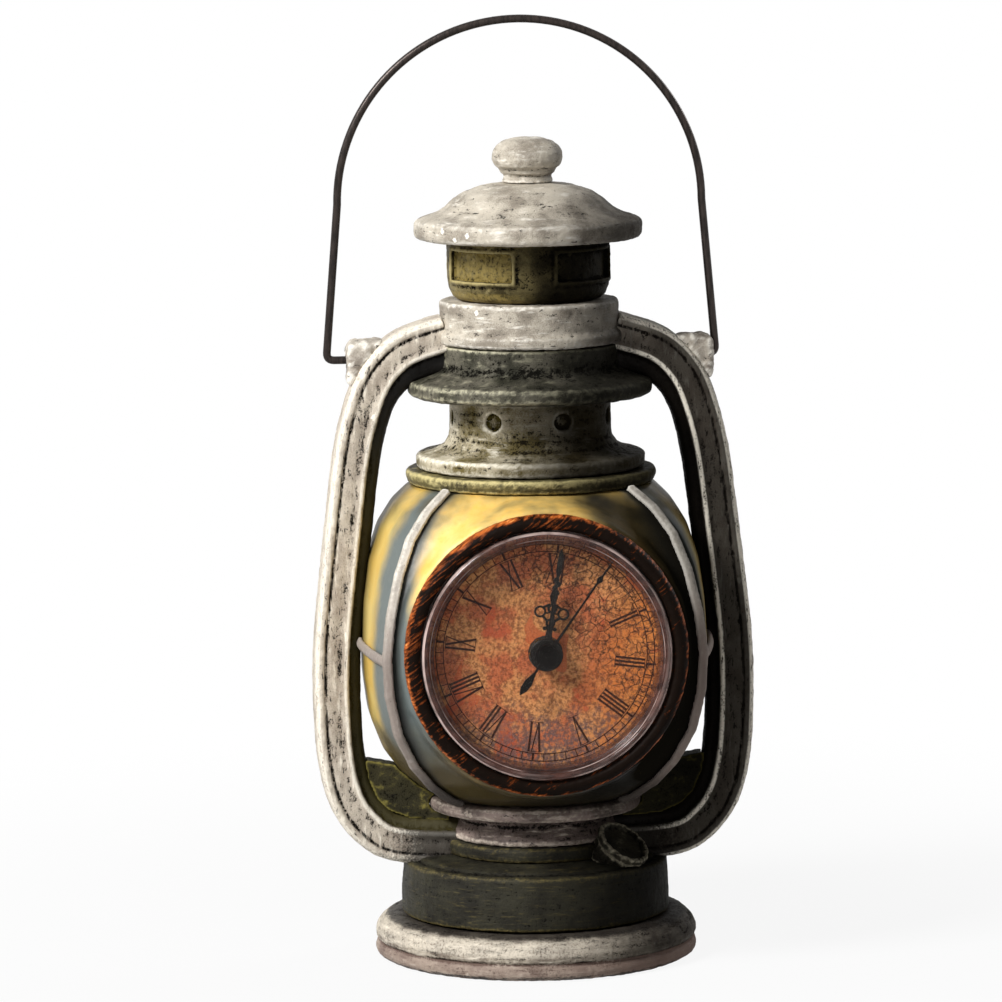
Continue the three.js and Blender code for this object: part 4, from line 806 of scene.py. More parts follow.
@dataclass(frozen=True)
class CrackledPaper(Finish):
    """Aged dial paper: pinkish tan with fine cracks, ochre to the right and stained at the foot."""

    name: str = "crackled_paper"
    tan: Colour = swatch(208, 142, 86)
    pink: Colour = swatch(186, 100, 62)
    brown: Colour = swatch(104, 54, 34)
    ochre: Colour = swatch(206, 120, 50)
    red: Colour = swatch(172, 70, 42)
    grey: Colour = swatch(96, 80, 80)
    crack: Colour = swatch(50, 26, 18)

    def mix(self, mixture: Mixture) -> None:
        """Mix the ground, its stains and the cracks over them."""
        x, _, z = mixture.axes()
        clouds = mixture.noise(11.0, detail=4, rough=0.6)
        stains = mixture.noise(5.0, detail=5, rough=0.65, twist=0.6)
        mottle = mixture.noise(1.1, detail=4, rough=0.75)
        fibre = mixture.noise(0.4)
        plain = mixture.noise(12.0, detail=2, rough=0.4, twist=0.7).step(0.635, 0.655)
        foot = (z + stains * -34.0).step(68.0, 54.0)
        corner = (x + (z - CLOCK_HEIGHT) * 0.8).step(2.0, 18.0)
        colour = clouds.step(0.42, 0.58).between(self.tan, self.pink)
        colour = colour.coat(self.ochre, (x + clouds * 22.0 + z * -0.2).step(0.0, 20.0) * 0.8)
        colour = colour.coat(self.red, plain * 0.7)
        colour = colour.coat(self.brown, mottle.step(0.46, 0.56) * plain.step(1.0, 0.4) * 0.72)
        colour = colour.coat(self.grey, foot * mottle.step(0.4, 0.52) * 0.75)
        for size, share in ((2.8, corner * 0.9), (1.2, stains.step(0.35, 0.55) * 0.45)):
            colour = colour.coat(self.crack, mixture.cells(size).step(0.07, 0.015) * share)
        colour = colour.coat(self.tan, fibre.step(0.5, 0.75) * 0.3)
        mixture.spread(colour, 0.75, 0.15)
        mixture.bumps(fibre * 0.4 + mottle * 0.6, 0.05)


@dataclass(frozen=True)
class ClearPlastic(Finish):
    """Clear moulded plastic with a tint, a share of what shows of it, faint smears and painted highlights on its
    rims.
    """

    name: str
    tint: Colour
    deep: Colour
    shows: float
    rims: tuple[Pair, ...] = ()
    roughness: float = 0.06
    gloss: float = 0.12
    glint: Colour = swatch(226, 202, 194)

    def mix(self, mixture: Mixture) -> None:
        """Mix the tint and the smears, paint pale highlights on the moulded rims, and let the rest be seen through.
        """
        smear = mixture.noise((9.0, 9.0, 3.0), rough=0.6)
        tone = smear.step(0.35, 0.65).between(self.deep, self.tint)
        away = mixture.from_clock()
        shows: object = self.shows
        for inner, outer in self.rims:
            # painted highlight: a pale, more opaque line round each rim
            glow = away.step(inner, inner + 0.2) * away.step(outer, outer - 0.2)
            glow = glow * mixture.noise(14.0).step(0.35, 0.62)
            tone = tone.coat(self.glint, glow * 0.85)
            shows = glow * 0.2 + shows
        mixture.spread(tone, smear * 0.1 + self.roughness, self.gloss, alpha=shows)


@dataclass(frozen=True)
class Moulded(Finish):
    """A moulded, drawn, rolled or printed material of the works.

    Fields are two tones, the size in mm of its mottling or brushing, and its gloss.
    """

    name: str
    tone: Colour
    other: Colour
    grain: Triple = (1.2, 1.2, 1.2)
    roughness: float = 0.45
    metallic: float = 0.0
    depth: float = 0.02
    contrast: float = 0.2
    gloss: float = 0.4

    def mix(self, mixture: Mixture) -> None:
        """Mix the two tones and a fine grain."""
        grain = mixture.noise(self.grain, detail=4, rough=0.6)
        colour = grain.step(0.5 - self.contrast, 0.5 + self.contrast).between(self.tone, self.other)
        colour = colour.coat(self.other, mixture.noise(6.0).step(0.55, 0.8) * 0.4)
        mixture.spread(colour, grain * 0.12 + (self.roughness - 0.06), self.gloss, metallic=self.metallic)
        mixture.bumps(grain, self.depth)


@dataclass(frozen=True)
class PrintedSleeve(Finish):
    """The cell's plain two-coloured sleeve with its bare steel ends."""

    name: str = "cell_sleeve"
    band: Colour = swatch(46, 92, 150)
    collar: Colour = swatch(226, 222, 212)
    steel: Colour = swatch(190, 192, 196)
    half: float = 24.0
    border: float = 9.0

    def mix(self, mixture: Mixture) -> None:
        """Mix the band, its light collar and the steel ends along the cell."""
        x = mixture.axes()[0]
        scuffs = mixture.noise((6.0, 1.0, 1.0), detail=4, rough=0.6)
        ends = abs(x).step(self.half, self.half + 0.1)
        colour = x.step(self.border, self.border + 0.1).between(self.band, self.collar)
        colour = colour.coat(self.collar, scuffs.step(0.6, 0.75) * 0.3).coat(self.steel, ends)
        mixture.spread(colour, scuffs * 0.15 + 0.25, metallic=ends)
        mixture.bumps(scuffs, 0.02)


# Each dry-brushed finish sets how deep its painted shade to the right falls and over what span along x, in mm.
CAST_SILVER = DryBrushed(
    "cast_silver", under=swatch(24, 20, 17), body=swatch(196, 187, 171), tint=swatch(134, 125, 112),
    light=swatch(246, 240, 228), speck=0.42, cover=0.29, shade_depth=0.9, right_shade=(-2.0, 30.0), wear=-0.03)
BASE_SILVER = FootPaint(
    "base_silver", under=swatch(20, 16, 13), body=swatch(176, 165, 148), tint=swatch(106, 94, 83),
    light=swatch(232, 222, 204), speck=0.42, cover=0.17, shade_depth=0.9, right_shade=(-4.0, 42.0), wear=-0.025)
STRAP_SILVER = StrapPaint(
    "strap_silver", under=swatch(34, 30, 27), body=swatch(204, 197, 184), tint=swatch(160, 152, 142),
    light=swatch(238, 232, 220), stroke=(3.0, 3.0, 7.0), cover=0.3, shade_depth=0.6, right_shade=(4.0, 40.0), chip=(1.4, 1.4, 2.4))
TUBE_SILVER = TubePaint(
    "tube_silver", under=swatch(17, 14, 11), body=swatch(206, 195, 178), tint=swatch(166, 153, 138),
    light=swatch(246, 238, 222), stroke=(1.6, 1.6, 9.0), speck=0.4, cover=0.27, catch=9.0, shade_depth=0.92,
    right_shade=(2.0, 44.0), depth=0.34, chip=(1.1, 1.1, 3.4), wear=-0.045)
EAR_SILVER = DryBrushed(
    "ear_silver", under=swatch(48, 42, 38), body=swatch(190, 181, 167), tint=swatch(140, 130, 119),
    light=swatch(240, 234, 222), stroke=(4.0, 4.0, 4.0), cover=0.34, shade_depth=0.1)
MAUVE_SILVER = DryBrushed(
    "mauve_silver", under=swatch(20, 16, 14), body=swatch(132, 116, 108), tint=swatch(84, 72, 66),
    light=swatch(206, 192, 176), cover=0.22, catch=10.0, edge=0.045, wear=-0.03)
DARK_GREEN = DryBrushed(
    "dark_green", under=swatch(12, 11, 9), body=swatch(46, 44, 34), tint=swatch(30, 28, 22),
    light=swatch(118, 106, 66), stroke=(6.0, 6.0, 0.8), cover=0.24, catch=6.0, edge=0.06, roughness=0.5,
    shade_depth=0.85, right_shade=(-10.0, 36.0), gloss=0.1, hatch=0.3)
FILLER_GREEN = DryBrushed(
    "filler_green", under=swatch(10, 9, 8), body=swatch(42, 39, 31), tint=swatch(24, 22, 18),
    light=swatch(150, 143, 124), stroke=(3.0, 3.0, 3.0), cover=0.2, catch=5.0, edge=0.05, roughness=0.5,
    shade_depth=0.0, gloss=0.1, hatch=0.2)
OLIVE_GREEN = DryBrushed(
    "olive_green", under=swatch(18, 16, 12), body=swatch(104, 96, 62), tint=swatch(58, 53, 36),
    light=swatch(204, 190, 134), stroke=(7.0, 7.0, 2.2), cover=0.24, catch=9.0, edge=0.04, shade_depth=0.92,
    right_shade=(-8.0, 30.0), gloss=0.12)
WEB_OLIVE = DryBrushed(
    "web_olive", under=swatch(14, 13, 10), body=swatch(54, 50, 32), tint=swatch(36, 34, 24),
    light=swatch(132, 122, 62), stroke=(4.0, 4.0, 3.0), cover=0.2, catch=6.0, edge=0.06, shade_depth=0.8,
    right_shade=(-10.0, 50.0), gloss=0.08)
BELL_OLIVE = PanelledPaint(
    "bell_olive", panel=swatch(88, 78, 34), floor=23.4, under=swatch(24, 20, 13), body=swatch(188, 178, 154),
    tint=swatch(104, 92, 52), light=swatch(240, 232, 212), stroke=(8.0, 8.0, 2.0), cover=0.2, catch=11.0,
    edge=0.035, shade_depth=0.95, right_shade=(-20.0, 16.0), gloss=0.14, wear=-0.02)
SOOTY_BROWN = PanelledPaint(
    "sooty_brown", under=swatch(12, 10, 7), body=swatch(122, 110, 72), tint=swatch(62, 54, 30),
    light=swatch(168, 154, 106), stroke=(6.0, 6.0, 5.0), cover=0.18, catch=8.0, edge=0.055, roughness=0.45,
    shade_depth=0.97, right_shade=(-16.0, 12.0), gloss=0.1)
SPECKLED_GREY = DryBrushed(
    "speckled_grey", under=swatch(16, 15, 12), body=swatch(98, 94, 82), tint=swatch(48, 47, 37),
    light=swatch(192, 187, 160), stroke=(5.0, 5.0, 2.0), cover=0.2, catch=11.0, edge=0.04, shade_depth=0.93,
    right_shade=(-18.0, 26.0), gloss=0.12, wear=-0.02, hatch=0.5)
GUNMETAL = Moulded("gunmetal_wire", swatch(34, 30, 28), swatch(58, 50, 46), (0.8, 0.8, 5.0), 0.35, 0.7, 0.03)
INK = Moulded("dial_ink", swatch(20, 12, 9), swatch(66, 36, 26), (0.5, 0.5, 0.5), 0.6, 0.0, 0.01, 0.3, 0.1)
BLACK_PAINT = Moulded("hand_black", swatch(8, 7, 6), swatch(20, 16, 14), (0.7, 0.7, 0.7), 0.4, 0.0, 0.02, 0.2, 0.12)

WORKS = {
    Moulded("moulded_black", swatch(30, 30, 32), swatch(42, 42, 44), (0.5, 0.5, 0.5), 0.5, 0.0, 0.03):
        ("dial_plate", "movement_case", "movement_cover", "setting_knob"),
    Moulded("washer_rubber", swatch(26, 26, 26), swatch(38, 38, 38), (0.6, 0.6, 0.6), 0.8, 0.0, 0.02):
        ("dial_washer",),
    Moulded("turned_brass", swatch(198, 156, 74), swatch(224, 188, 108), (3.0, 0.3, 3.0), 0.25, 1.0, 0.01):
        ("dial_nut", "minute_pipe"),
    Moulded("white_nylon", swatch(226, 224, 214), swatch(236, 234, 226), (2.0, 2.0, 2.0), 0.4, 0.0, 0.01):
        ("middle_plate", "rotor", "intermediate_wheel", "second_wheel", "third_wheel", "centre_wheel",
         "minute_wheel", "hour_wheel"),
    Moulded("spring_steel", swatch(176, 178, 182), swatch(204, 206, 210), (5.0, 0.4, 0.4), 0.28, 1.0, 0.01):
        ("stator", "battery_contact_positive", "battery_contact_negative"),
    Moulded("wound_copper", swatch(134, 62, 28), swatch(190, 104, 54), (0.16, 4.0, 4.0), 0.3, 0.6, 0.08, 0.08):
        ("coil",),
    Moulded("green_laminate", swatch(36, 98, 56), swatch(48, 122, 70), (0.4, 1.6, 0.4), 0.4, 0.0, 0.02):
        ("circuit_board",),
    PrintedSleeve(): ("battery",),
}


def hand_over(piece: Piece, finish: Finish, body: Body, slot: str, *nodes: str) -> Piece:
    """Paint a finished piece, seat it on its body and let it stand for its nodes.

    Args:
        piece: the finished piece.
        finish: what it is painted with.
        body: the moving body that it rides on.
        slot: the material slot that it would take its finish from; not used.
        nodes: the solids that it stands for.

    Returns:
        The piece.
    """
    piece.data.materials.clear()
    piece.data.materials.append(finish.material())
    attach(piece, body.value)
    if nodes:
        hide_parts(*nodes)
    log.info("%s: %d faces", piece.name, len(piece.data.polygons))
    return piece


@dataclass(frozen=True)
class Turned:
    """One casting that is turned on the lantern's upright axis.

    Fields are its node, its profile as radius and height, its finish and slot, and how its edges and skin are made.
    """

    node: str
    profile: tuple[Pair, ...]
    finish: DryBrushed
    slot: str
    rounding: float = 0.7
    casting: Casting = Casting()

    def build(self, cutters: Sequence[Piece] = (), grown: Sequence[Piece] = ()) -> None:
        """Turn the profile, cut it, round its edges, grow further pieces on it and pour it."""
        name = self.node.replace("_", "-")
        piece = Bench.ease(Bench.cut(Bench.turn(name, self.profile), *cutters), self.rounding)
        if grown:
            piece = Bench.gather(name, [piece, *grown])
        hand_over(self.casting.pour(piece), self.finish, Body.LANTERN, self.slot, self.node)


@dataclass
class Base:
    """The foot, the fuel tank, the burner collar and the cup under the globe."""

    parts: tuple[Turned, ...] = (
        Turned("foot_ring", (
            (38.0, 0.0), (46.4, 0.0), (48.4, 1.2), (48.7, 2.8), (48.1, 4.5), (47.0, 4.9), (47.0, 5.4), (48.5, 5.9),
            (48.6, 8.0), (47.6, 10.2), (45.2, 12.2), (42.6, 13.0), (41.2, 13.0), (38.0, 12.6)),
            BASE_SILVER, "silver_casting", 0.3, Casting(grain=0.55)),
        Turned("fuel_tank", (
            (0.0, 0.6), (37.6, 0.6), (37.6, 13.3), (40.6, 13.4), (40.4, 20.5), (39.9, 28.3), (39.8, 29.2),
            (38.4, 29.7), (36.6, 29.4), (36.2, 30.4), (34.5, 31.0), (27.8, 31.5), (0.0, 31.5)),
            DARK_GREEN, "dark_green_casting", 0.5, Casting(relief=0.5, breadth=9.0)),
        Turned("burner_collar", (
            (0.0, 31.7), (27.2, 31.7), (27.4, 32.6), (27.4, 35.4), (26.6, 36.1), (0.0, 36.1)),
            DARK_GREEN, "dark_green_casting", 0.5),
        Turned("globe_cup", (
            (0.0, 36.3), (25.4, 36.3), (25.9, 37.4), (24.6, 39.6), (23.5, 42.0), (24.4, 43.9), (29.4, 44.3),
            (31.6, 44.9), (32.2, 46.4), (31.9, 48.2), (30.6, 48.9), (0.0, 49.1)),
            MAUVE_SILVER, "silver_casting", 0.3, Casting(grain=0.5, relief=0.25)))

    def build(self) -> None:
        """Build the base from the foot upwards."""
        for part in self.parts:
            part.build()


@dataclass
class Chimney:
    """The gallery ring over the globe, and the bell with its blind vents."""

    vents: int = 7
    turn: float = -32.0
    vent_radius: float = 2.7
    vent_height: float = 163.9
    vent_floor: float = 22.9
    vent_mouth: float = 26.3  # where the cutters end, outside the neck
    gallery: Turned = Turned("gallery_ring", (
        (0.0, 144.0), (36.4, 144.0), (37.3, 144.6), (37.3, 145.5), (37.7, 145.9), (37.7, 147.4), (37.2, 148.1),
        (0.0, 148.3)),
        OLIVE_GREEN, "olive_casting", 0.3)
    bell: Turned = Turned("chimney_bell", (
        (0.0, 148.5), (33.6, 148.5), (34.3, 149.1), (34.4, 152.0), (33.8, 152.8), (32.6, 153.0), (29.4, 153.7),
        (26.2, 155.2), (24.6, 157.8), (24.3, 160.0), (24.3, 169.4), (23.6, 169.7), (0.0, 169.7)),
        BELL_OLIVE, "dark_green_casting", 0.3)

    def vent(self, index: int) -> Piece:
        """One vent's cutter, from the floor of the vent outwards, at its place round the neck."""
        middle, depth = (self.vent_mouth + self.vent_floor) / 2, self.vent_mouth - self.vent_floor
        cutter = Bench.drill(f"vent_cutter_{index}", self.vent_radius, depth, (90, 0, 0), (0, -middle, 0), 40)
        return Bench.settle(cutter, (0, 0, self.turn + 360 * index / self.vents), (0, 0, self.vent_height))

    def build(self) -> None:
        """Build the ring and the bell, and cut the vents into the bell's neck."""
        self.gallery.build()
        self.bell.build([self.vent(i) for i in range(self.vents)])


@dataclass
class Hood:
    """The flange with its recessed drum, the ring, the windowed drum, the cap and its knob."""

    windows: int = 4
    window_low: float = 205.55
    window_high: float = 214.25
    window_half: float = 11.9
    drum_radius: float = 24.3
    window_depth: float = 1.3
    first_window: float = 45.0
    frame_width: float = 0.9
    frame_rise: float = 0.7
    frame_root: float = 0.4  # how deep a frame starts in the drum
    spare: float = 2.0  # how far a cutter reaches past what it cuts
    flange: Turned = Turned("hood_flange", (
        (0.0, 169.9), (34.6, 169.9), (36.3, 170.7), (36.8, 171.5), (36.8, 173.9), (36.3, 174.7), (35.0, 175.2),
        (30.0, 176.9), (27.6, 178.0), (26.7, 179.4), (26.6, 185.6), (0.0, 185.7)),
        SPECKLED_GREY, "dark_green_casting", 0.3)
    ring: Turned = Turned("hood_ring", (
        (0.0, 186.0), (27.2, 186.0), (28.0, 186.6), (28.1, 189.0), (27.5, 189.8), (26.8, 190.4), (26.9, 198.1),
        (26.4, 198.8), (0.0, 199.1)),
        CAST_SILVER, "silver_casting", 0.25, Casting(grain=0.5))
    drum: Turned = Turned("vent_drum", (
        (0.0, 199.3), (21.6, 199.3), (22.9, 200.4), (24.0, 203.0), (24.3, 205.4), (24.3, 216.8), (0.0, 216.8)),
        SOOTY_BROWN, "dark_green_casting", 0.4, Casting(grain=0.5, relief=0.25))
    cap: Turned = Turned("cap", (
        (0.0, 217.1), (24.8, 217.1), (32.8, 217.2), (33.8, 217.9), (34.2, 219.0), (34.2, 222.0), (33.7, 222.8),
        (31.6, 223.6), (27.8, 224.9), (25.6, 226.2), (22.8, 228.8), (19.2, 231.1), (14.0, 232.9), (8.6, 233.7),
        (0.0, 233.9)),
        CAST_SILVER, "silver_casting", 0.25, Casting(grain=0.5))
    knob: Turned = Turned("cap_knob", (
        (0.0, 234.0), (7.9, 234.0), (7.3, 235.2), (7.0, 236.2), (8.2, 237.0), (8.3, 238.0), (9.9, 239.0),
        (10.7, 241.0), (10.4, 243.1), (9.3, 244.9), (7.4, 246.3), (4.4, 247.2), (0.0, 247.5)),
        CAST_SILVER, "silver_casting", 0.3, Casting(grain=0.5))

    def block(self, name: str, grow: float, inner: float, outer: float) -> Piece:
        """An upright block over one window, hollowed and rounded to two radii.

        Args:
            name: the block's name.
            grow: how far it stands over the window's edges.
            inner: radius of its hollow side.
            outer: radius of its outer side.

        Returns:
            The block in front of the drum.
        """
        half, rise = self.window_half + grow, (self.window_high - self.window_low) / 2 + grow
        outline = ((-half, -rise), (half, -rise), (half, rise), (-half, rise))
        block = Bench.plate(name, outline, 0.0, self.drum_radius + 2 * self.spare)
        Bench.settle(block, (90, 0, 0), (0, 0, (self.window_low + self.window_high) / 2))
        low, high = self.window_low - 3 * self.spare, self.window_high + 3 * self.spare
        core, form = (Bench.disc(f"{name}_{word}", radius, low, high)
                      for word, radius in (("core", inner), ("form", outer)))
        return Bench.cut(Bench.cut(block, core), form, operation="INTERSECT")

    def at_window(self, piece: Piece, index: int) -> Piece:
        """Turn a piece round to one of the windows."""
        return Bench.settle(piece, (0, 0, self.first_window + 360 * index / self.windows))

    def window(self, index: int) -> Piece:
        """One window's cutter, which sinks a panel into the drum."""
        floor, past = self.drum_radius - self.window_depth, self.drum_radius + self.spare
        return self.at_window(self.block(f"window_cutter_{index}", 0.0, floor, past), index)

    def frame(self, index: int) -> Piece:
        """The thin raised frame round one window."""
        rim = self.block(f"window_frame_{index}", self.frame_width, self.drum_radius - self.frame_root,
                         self.drum_radius + self.frame_rise)
        inside = self.block(f"window_inside_{index}", 0.0, self.drum_radius - self.spare,
                            self.drum_radius + self.spare)
        return self.at_window(Bench.cut(rim, inside), index)

    def build(self) -> None:
        """Build the hood from the flange upwards, sink the windows into its drum and grow their frames on it."""
        self.flange.build()
        self.ring.build()
        places = range(self.windows)
        self.drum.build([self.window(i) for i in places], [self.frame(i) for i in places])
        self.cap.build()
        self.knob.build()


@dataclass
class Globe:
    """The bulging four-sided globe, with the clock's seat in front and the hand hole behind."""

    casting: Casting = Casting(grain=0.9, passes=14, relief=0.3, breadth=12.0, pitting=0.08)

    def build(self) -> None:
        """Smooth and pour the globe's form."""
        self.casting.recast("globe_shell", AirbrushedGlobe(), "globe_casting")


@dataclass
class Guard:
    """The four straps over the globe's corners."""

    casting: Casting = Casting(grain=0.45, relief=0.3, pitting=0.12, swell=0.35)

    def build(self) -> None:
        """Pour each strap."""
        for place in ("front_left", "front_right", "rear_left", "rear_right"):
            self.casting.recast(f"guard_rib_{place}", STRAP_SILVER, "silver_casting")


@dataclass
class Frame:
    """The side tubes, the webs in their lower corners, and the ears that hold the bail.

    A tube is a broad body with a ridge at its inner edge, and a strap along its outside. At the top they part: the
    body ends against the flange's drum and the strap runs on to the hood ring.
    """

    shared_line: tuple[Pair, ...] = (
        (21.5, 33.8), (42.3, 35.4), (51.3, 41.0), (56.8, 49.7), (59.5, 62.0), (60.4, 78.1), (60.2, 93.6),
        (58.8, 108.9), (56.2, 130.9), (53.5, 152.2), (50.2, 166.0))
    body_end: tuple[Pair, ...] = ((45.4, 175.4), (37.8, 181.6), (30.0, 184.2), (24.6, 184.8))
    strap_end: tuple[Pair, ...] = ((45.7, 176.6), (37.8, 184.2), (25.0, 188.6))
    body_half: tuple[Pair, ...] = (
        (0.0, 2.0), (-5.0, 2.0), (-5.2, 0.0), (-5.5, -3.0), (-5.4, -5.0), (-4.8, -6.8), (-3.4, -7.8), (-1.6, -8.1),
        (0.0, -8.1))
    strap_half: tuple[Pair, ...] = (
        (0.0, 6.2), (-4.8, 6.1), (-6.9, 5.6), (-7.9, 4.7), (-8.0, 3.6), (-7.6, 3.1), (-6.9, 2.9), (-6.9, 2.4),
        (-7.5, 2.1), (-7.5, 0.4), (-7.3, -1.6), (-7.7, -2.7), (-8.0, -3.4), (-7.7, -4.1), (-6.8, -4.5), (-5.0, -4.6),
        (0.0, -4.6))
    smoothness: int = 6
    ear_place: float = 55.0
    pin_hole: float = 1.7
    pin_depth: float = 20.0
    casting: Casting = Casting(grain=0.55, relief=0.4, breadth=3.6, pitting=0.16)
    lumpy: Casting = Casting(grain=0.5, passes=5, relief=1.8, breadth=3.8, pitting=0.4, swell=0.7)

    @staticmethod
    def whole(half: Sequence[Pair]) -> list[Pair]:
        """A section from its front half, with its outside turned outwards."""
        return [(x, -y) for x, y in (*half, *((-x, y) for x, y in reversed(half[1:-1])))]

    def run(self, name: str, end: Sequence[Pair], half: Sequence[Pair]) -> Piece:
        """Sweep one section up the right side to an end of its own."""
        path = [(x, 0.0, z) for x, z in flowing((*self.shared_line, *end), self.smoothness)]
        return Bench.sweep(name, path, self.whole(half))

    def pin_cutter(self, side: int) -> Piece:
        """The drill for the bail's pin."""
        place = (side * self.ear_place, 0, BAIL_PIVOT)
        return Bench.drill("pin_cutter", self.pin_hole, self.pin_depth, (0, 90, 0), place, 32)

    def tube(self, side: int, word: str) -> None:
        """Sweep a tube's two parts, pour them as one and drill it."""
        parts = [self.run("body", self.body_end, self.body_half), self.run("strap", self.strap_end, self.strap_half)]
        piece = Bench.gather(f"tube-{word}", parts)
        if side < 0:
            Bench.true_up(Bench.settle(piece, side=side))
        Bench.cut(self.casting.pour(piece), self.pin_cutter(side))
        self.note_offsets(piece, side)
        hand_over(piece, TUBE_SILVER, Body.LANTERN, "silver_casting", f"tube_{word}")

    def note_offsets(self, piece: Piece, side: int) -> None:
        """Note on each point of a tube how far outside the tube's line it lies in mm, for its paint."""
        line = [Vector((side * x, 0, z)) for x, z in flowing((*self.shared_line, *self.strap_end), 16)]
        nearest = KDTree(len(line))
        for i, point in enumerate(line):
            nearest.insert(point, i)
        nearest.balance()
        offsets = []
        for vertex in piece.data.vertices:
            place = Vector((vertex.co.x, 0, vertex.co.z)) / MM
            point, i, _ = nearest.find(place)
            run = (line[min(i + 1, len(line) - 1)] - line[max(i - 1, 0)]).normalized()
            offsets.append(side * ((place.x - point.x) * run.z - (place.z - point.z) * run.x))
        piece.data.attributes.new("outward", "FLOAT", "POINT").data.foreach_set("value", offsets)

    def build(self) -> None:
        """Make the tube, the lumpy ear and the web of both sides."""
        for side, word in ((-1, "left"), (1, "right")):
            self.tube(side, word)
            self.lumpy.recast(f"ear_{word}", EAR_SILVER, "silver_casting", self.pin_cutter(side))
            self.casting.recast(f"tube_web_{word}", WEB_OLIVE, "olive_casting")


@dataclass
class Filler:
    """The tilted filler neck and its dished cap."""

    casting: Casting = Casting(grain=0.4, passes=2, relief=0.2)

    def build(self) -> None:
        """Pour the neck and the cap."""
        for node in ("filler_neck", "filler_cap"):
            self.casting.recast(node, FILLER_GREEN, "dark_green_casting")


@dataclass
class Bail:
    """The wire bail, bent over the cap, with its ends turned into the ears."""

    wire: float = 1.2
    foot: float = 58.65
    pin: float = 11.0
    bend: float = 2.4
    arch_radius: float = 54.7
    arch_height: float = 228.0
    arch_steps: int = 72
    lean: float = 2.4
    end_rounding: float = 0.25

    @staticmethod
    def arc(radius: float, middle: float, angle: float, steps: int) -> list[Pair]:
        """Points round a middle on the upright axis, over an angle in radians."""
        return [(radius * math.cos(angle * i / steps), middle + radius * math.sin(angle * i / steps))
                for i in range(steps + 1)]

    def build(self) -> None:
        """Bend the wire from pin to pin and round its ends."""
        bend = toward((self.foot - self.bend, BAIL_PIVOT), (self.foot, BAIL_PIVOT),
                      (self.foot - 0.2, BAIL_PIVOT + self.bend))
        right = [(self.foot - self.pin, BAIL_PIVOT), (self.foot - self.pin / 2, BAIL_PIVOT), *bend]
        arch = self.arc(self.arch_radius, self.arch_height, math.pi, self.arch_steps)
        line = [*right, *arch, *((-x, z) for x, z in reversed(right))]
        section = self.arc(self.wire, 0.0, math.tau, 16)[:-1]
        piece = Bench.sweep("bail-wire", [(x - self.lean, 0.0, z) for x, z in line], section)
        Bench.smooth(Bench.ease(piece, self.end_rounding, angle=50), 50)
        hand_over(piece, GUNMETAL, Body.BAIL, "bail_wire", "bail")


def dress(node: str, finish: Finish) -> None:
    """Give a node that keeps its own mesh a better material."""
    for slot in frame["nodes"][node].material_slots:
        slot.material = finish.material()
    log.info("%s: dressed in %s", node, finish.name)


@dataclass(frozen=True)
class Hand:
    """One pierced hand, made flat and pointing up, then laid before the dial at its turn.

    Fields are its node, its body, its turn by degrees, and the heights of its hub and blade before the dial. Its
    blades are outlines, its hoops are middle, inner and outer radius, and its strokes are ends and width.
    """

    node: str
    body: Body
    turn: float
    hub: float
    hub_levels: Pair
    levels: Pair
    blades: tuple[tuple[Pair, ...], ...]
    hoops: tuple[tuple[Pair, float, float], ...] = ()
    strokes: tuple[tuple[Pair, Pair, float], ...] = ()
    grain: float = 0.13
    hub_bevel: Pair = (0.3, 0.25)

    def hoop(self, index: int, middle: Pair, inner: float, outer: float) -> Piece:
        """One pierced hoop, or a round boss where its inner radius is 0."""
        low, high = self.levels
        name = f"{self.node}_hoop_{index}"
        disc = Bench.disc(name, outer, low, high, 40)
        if inner:
            Bench.cut(disc, Bench.disc(f"{name}_bore", inner, low - 1, high + 1, 40))
        return Bench.settle(disc, move=(*middle, 0))

    def build(self) -> None:
        """Cut the blades, hoops and hub, grow them together and lay the hand in place."""
        parts = [Bench.plate(f"{self.node}_blade_{i}", shape, *self.levels) for i, shape in enumerate(self.blades)]
        parts += [self.hoop(i, *hoop) for i, hoop in enumerate(self.hoops)]
        parts += [Bench.stroke(f"{self.node}_stroke_{i}", *stroke, *self.levels)
                  for i, stroke in enumerate(self.strokes)]
        (under, over), (inward, down) = self.hub_levels, self.hub_bevel
        parts.append(Bench.turn(f"{self.node}_hub", (
            (0.0, under), (self.hub, under), (self.hub, over - down), (self.hub - inward, over), (0.0, over)), 64))
        piece = Bench.remesh(Bench.gather(self.node.replace("_", "-"), parts), self.grain)
        Bench.finish(piece, "SMOOTH", factor=0.5, iterations=1)
        hand_over(Bench.stand(piece, self.turn), BLACK_PAINT, self.body, "black_hands", self.node)


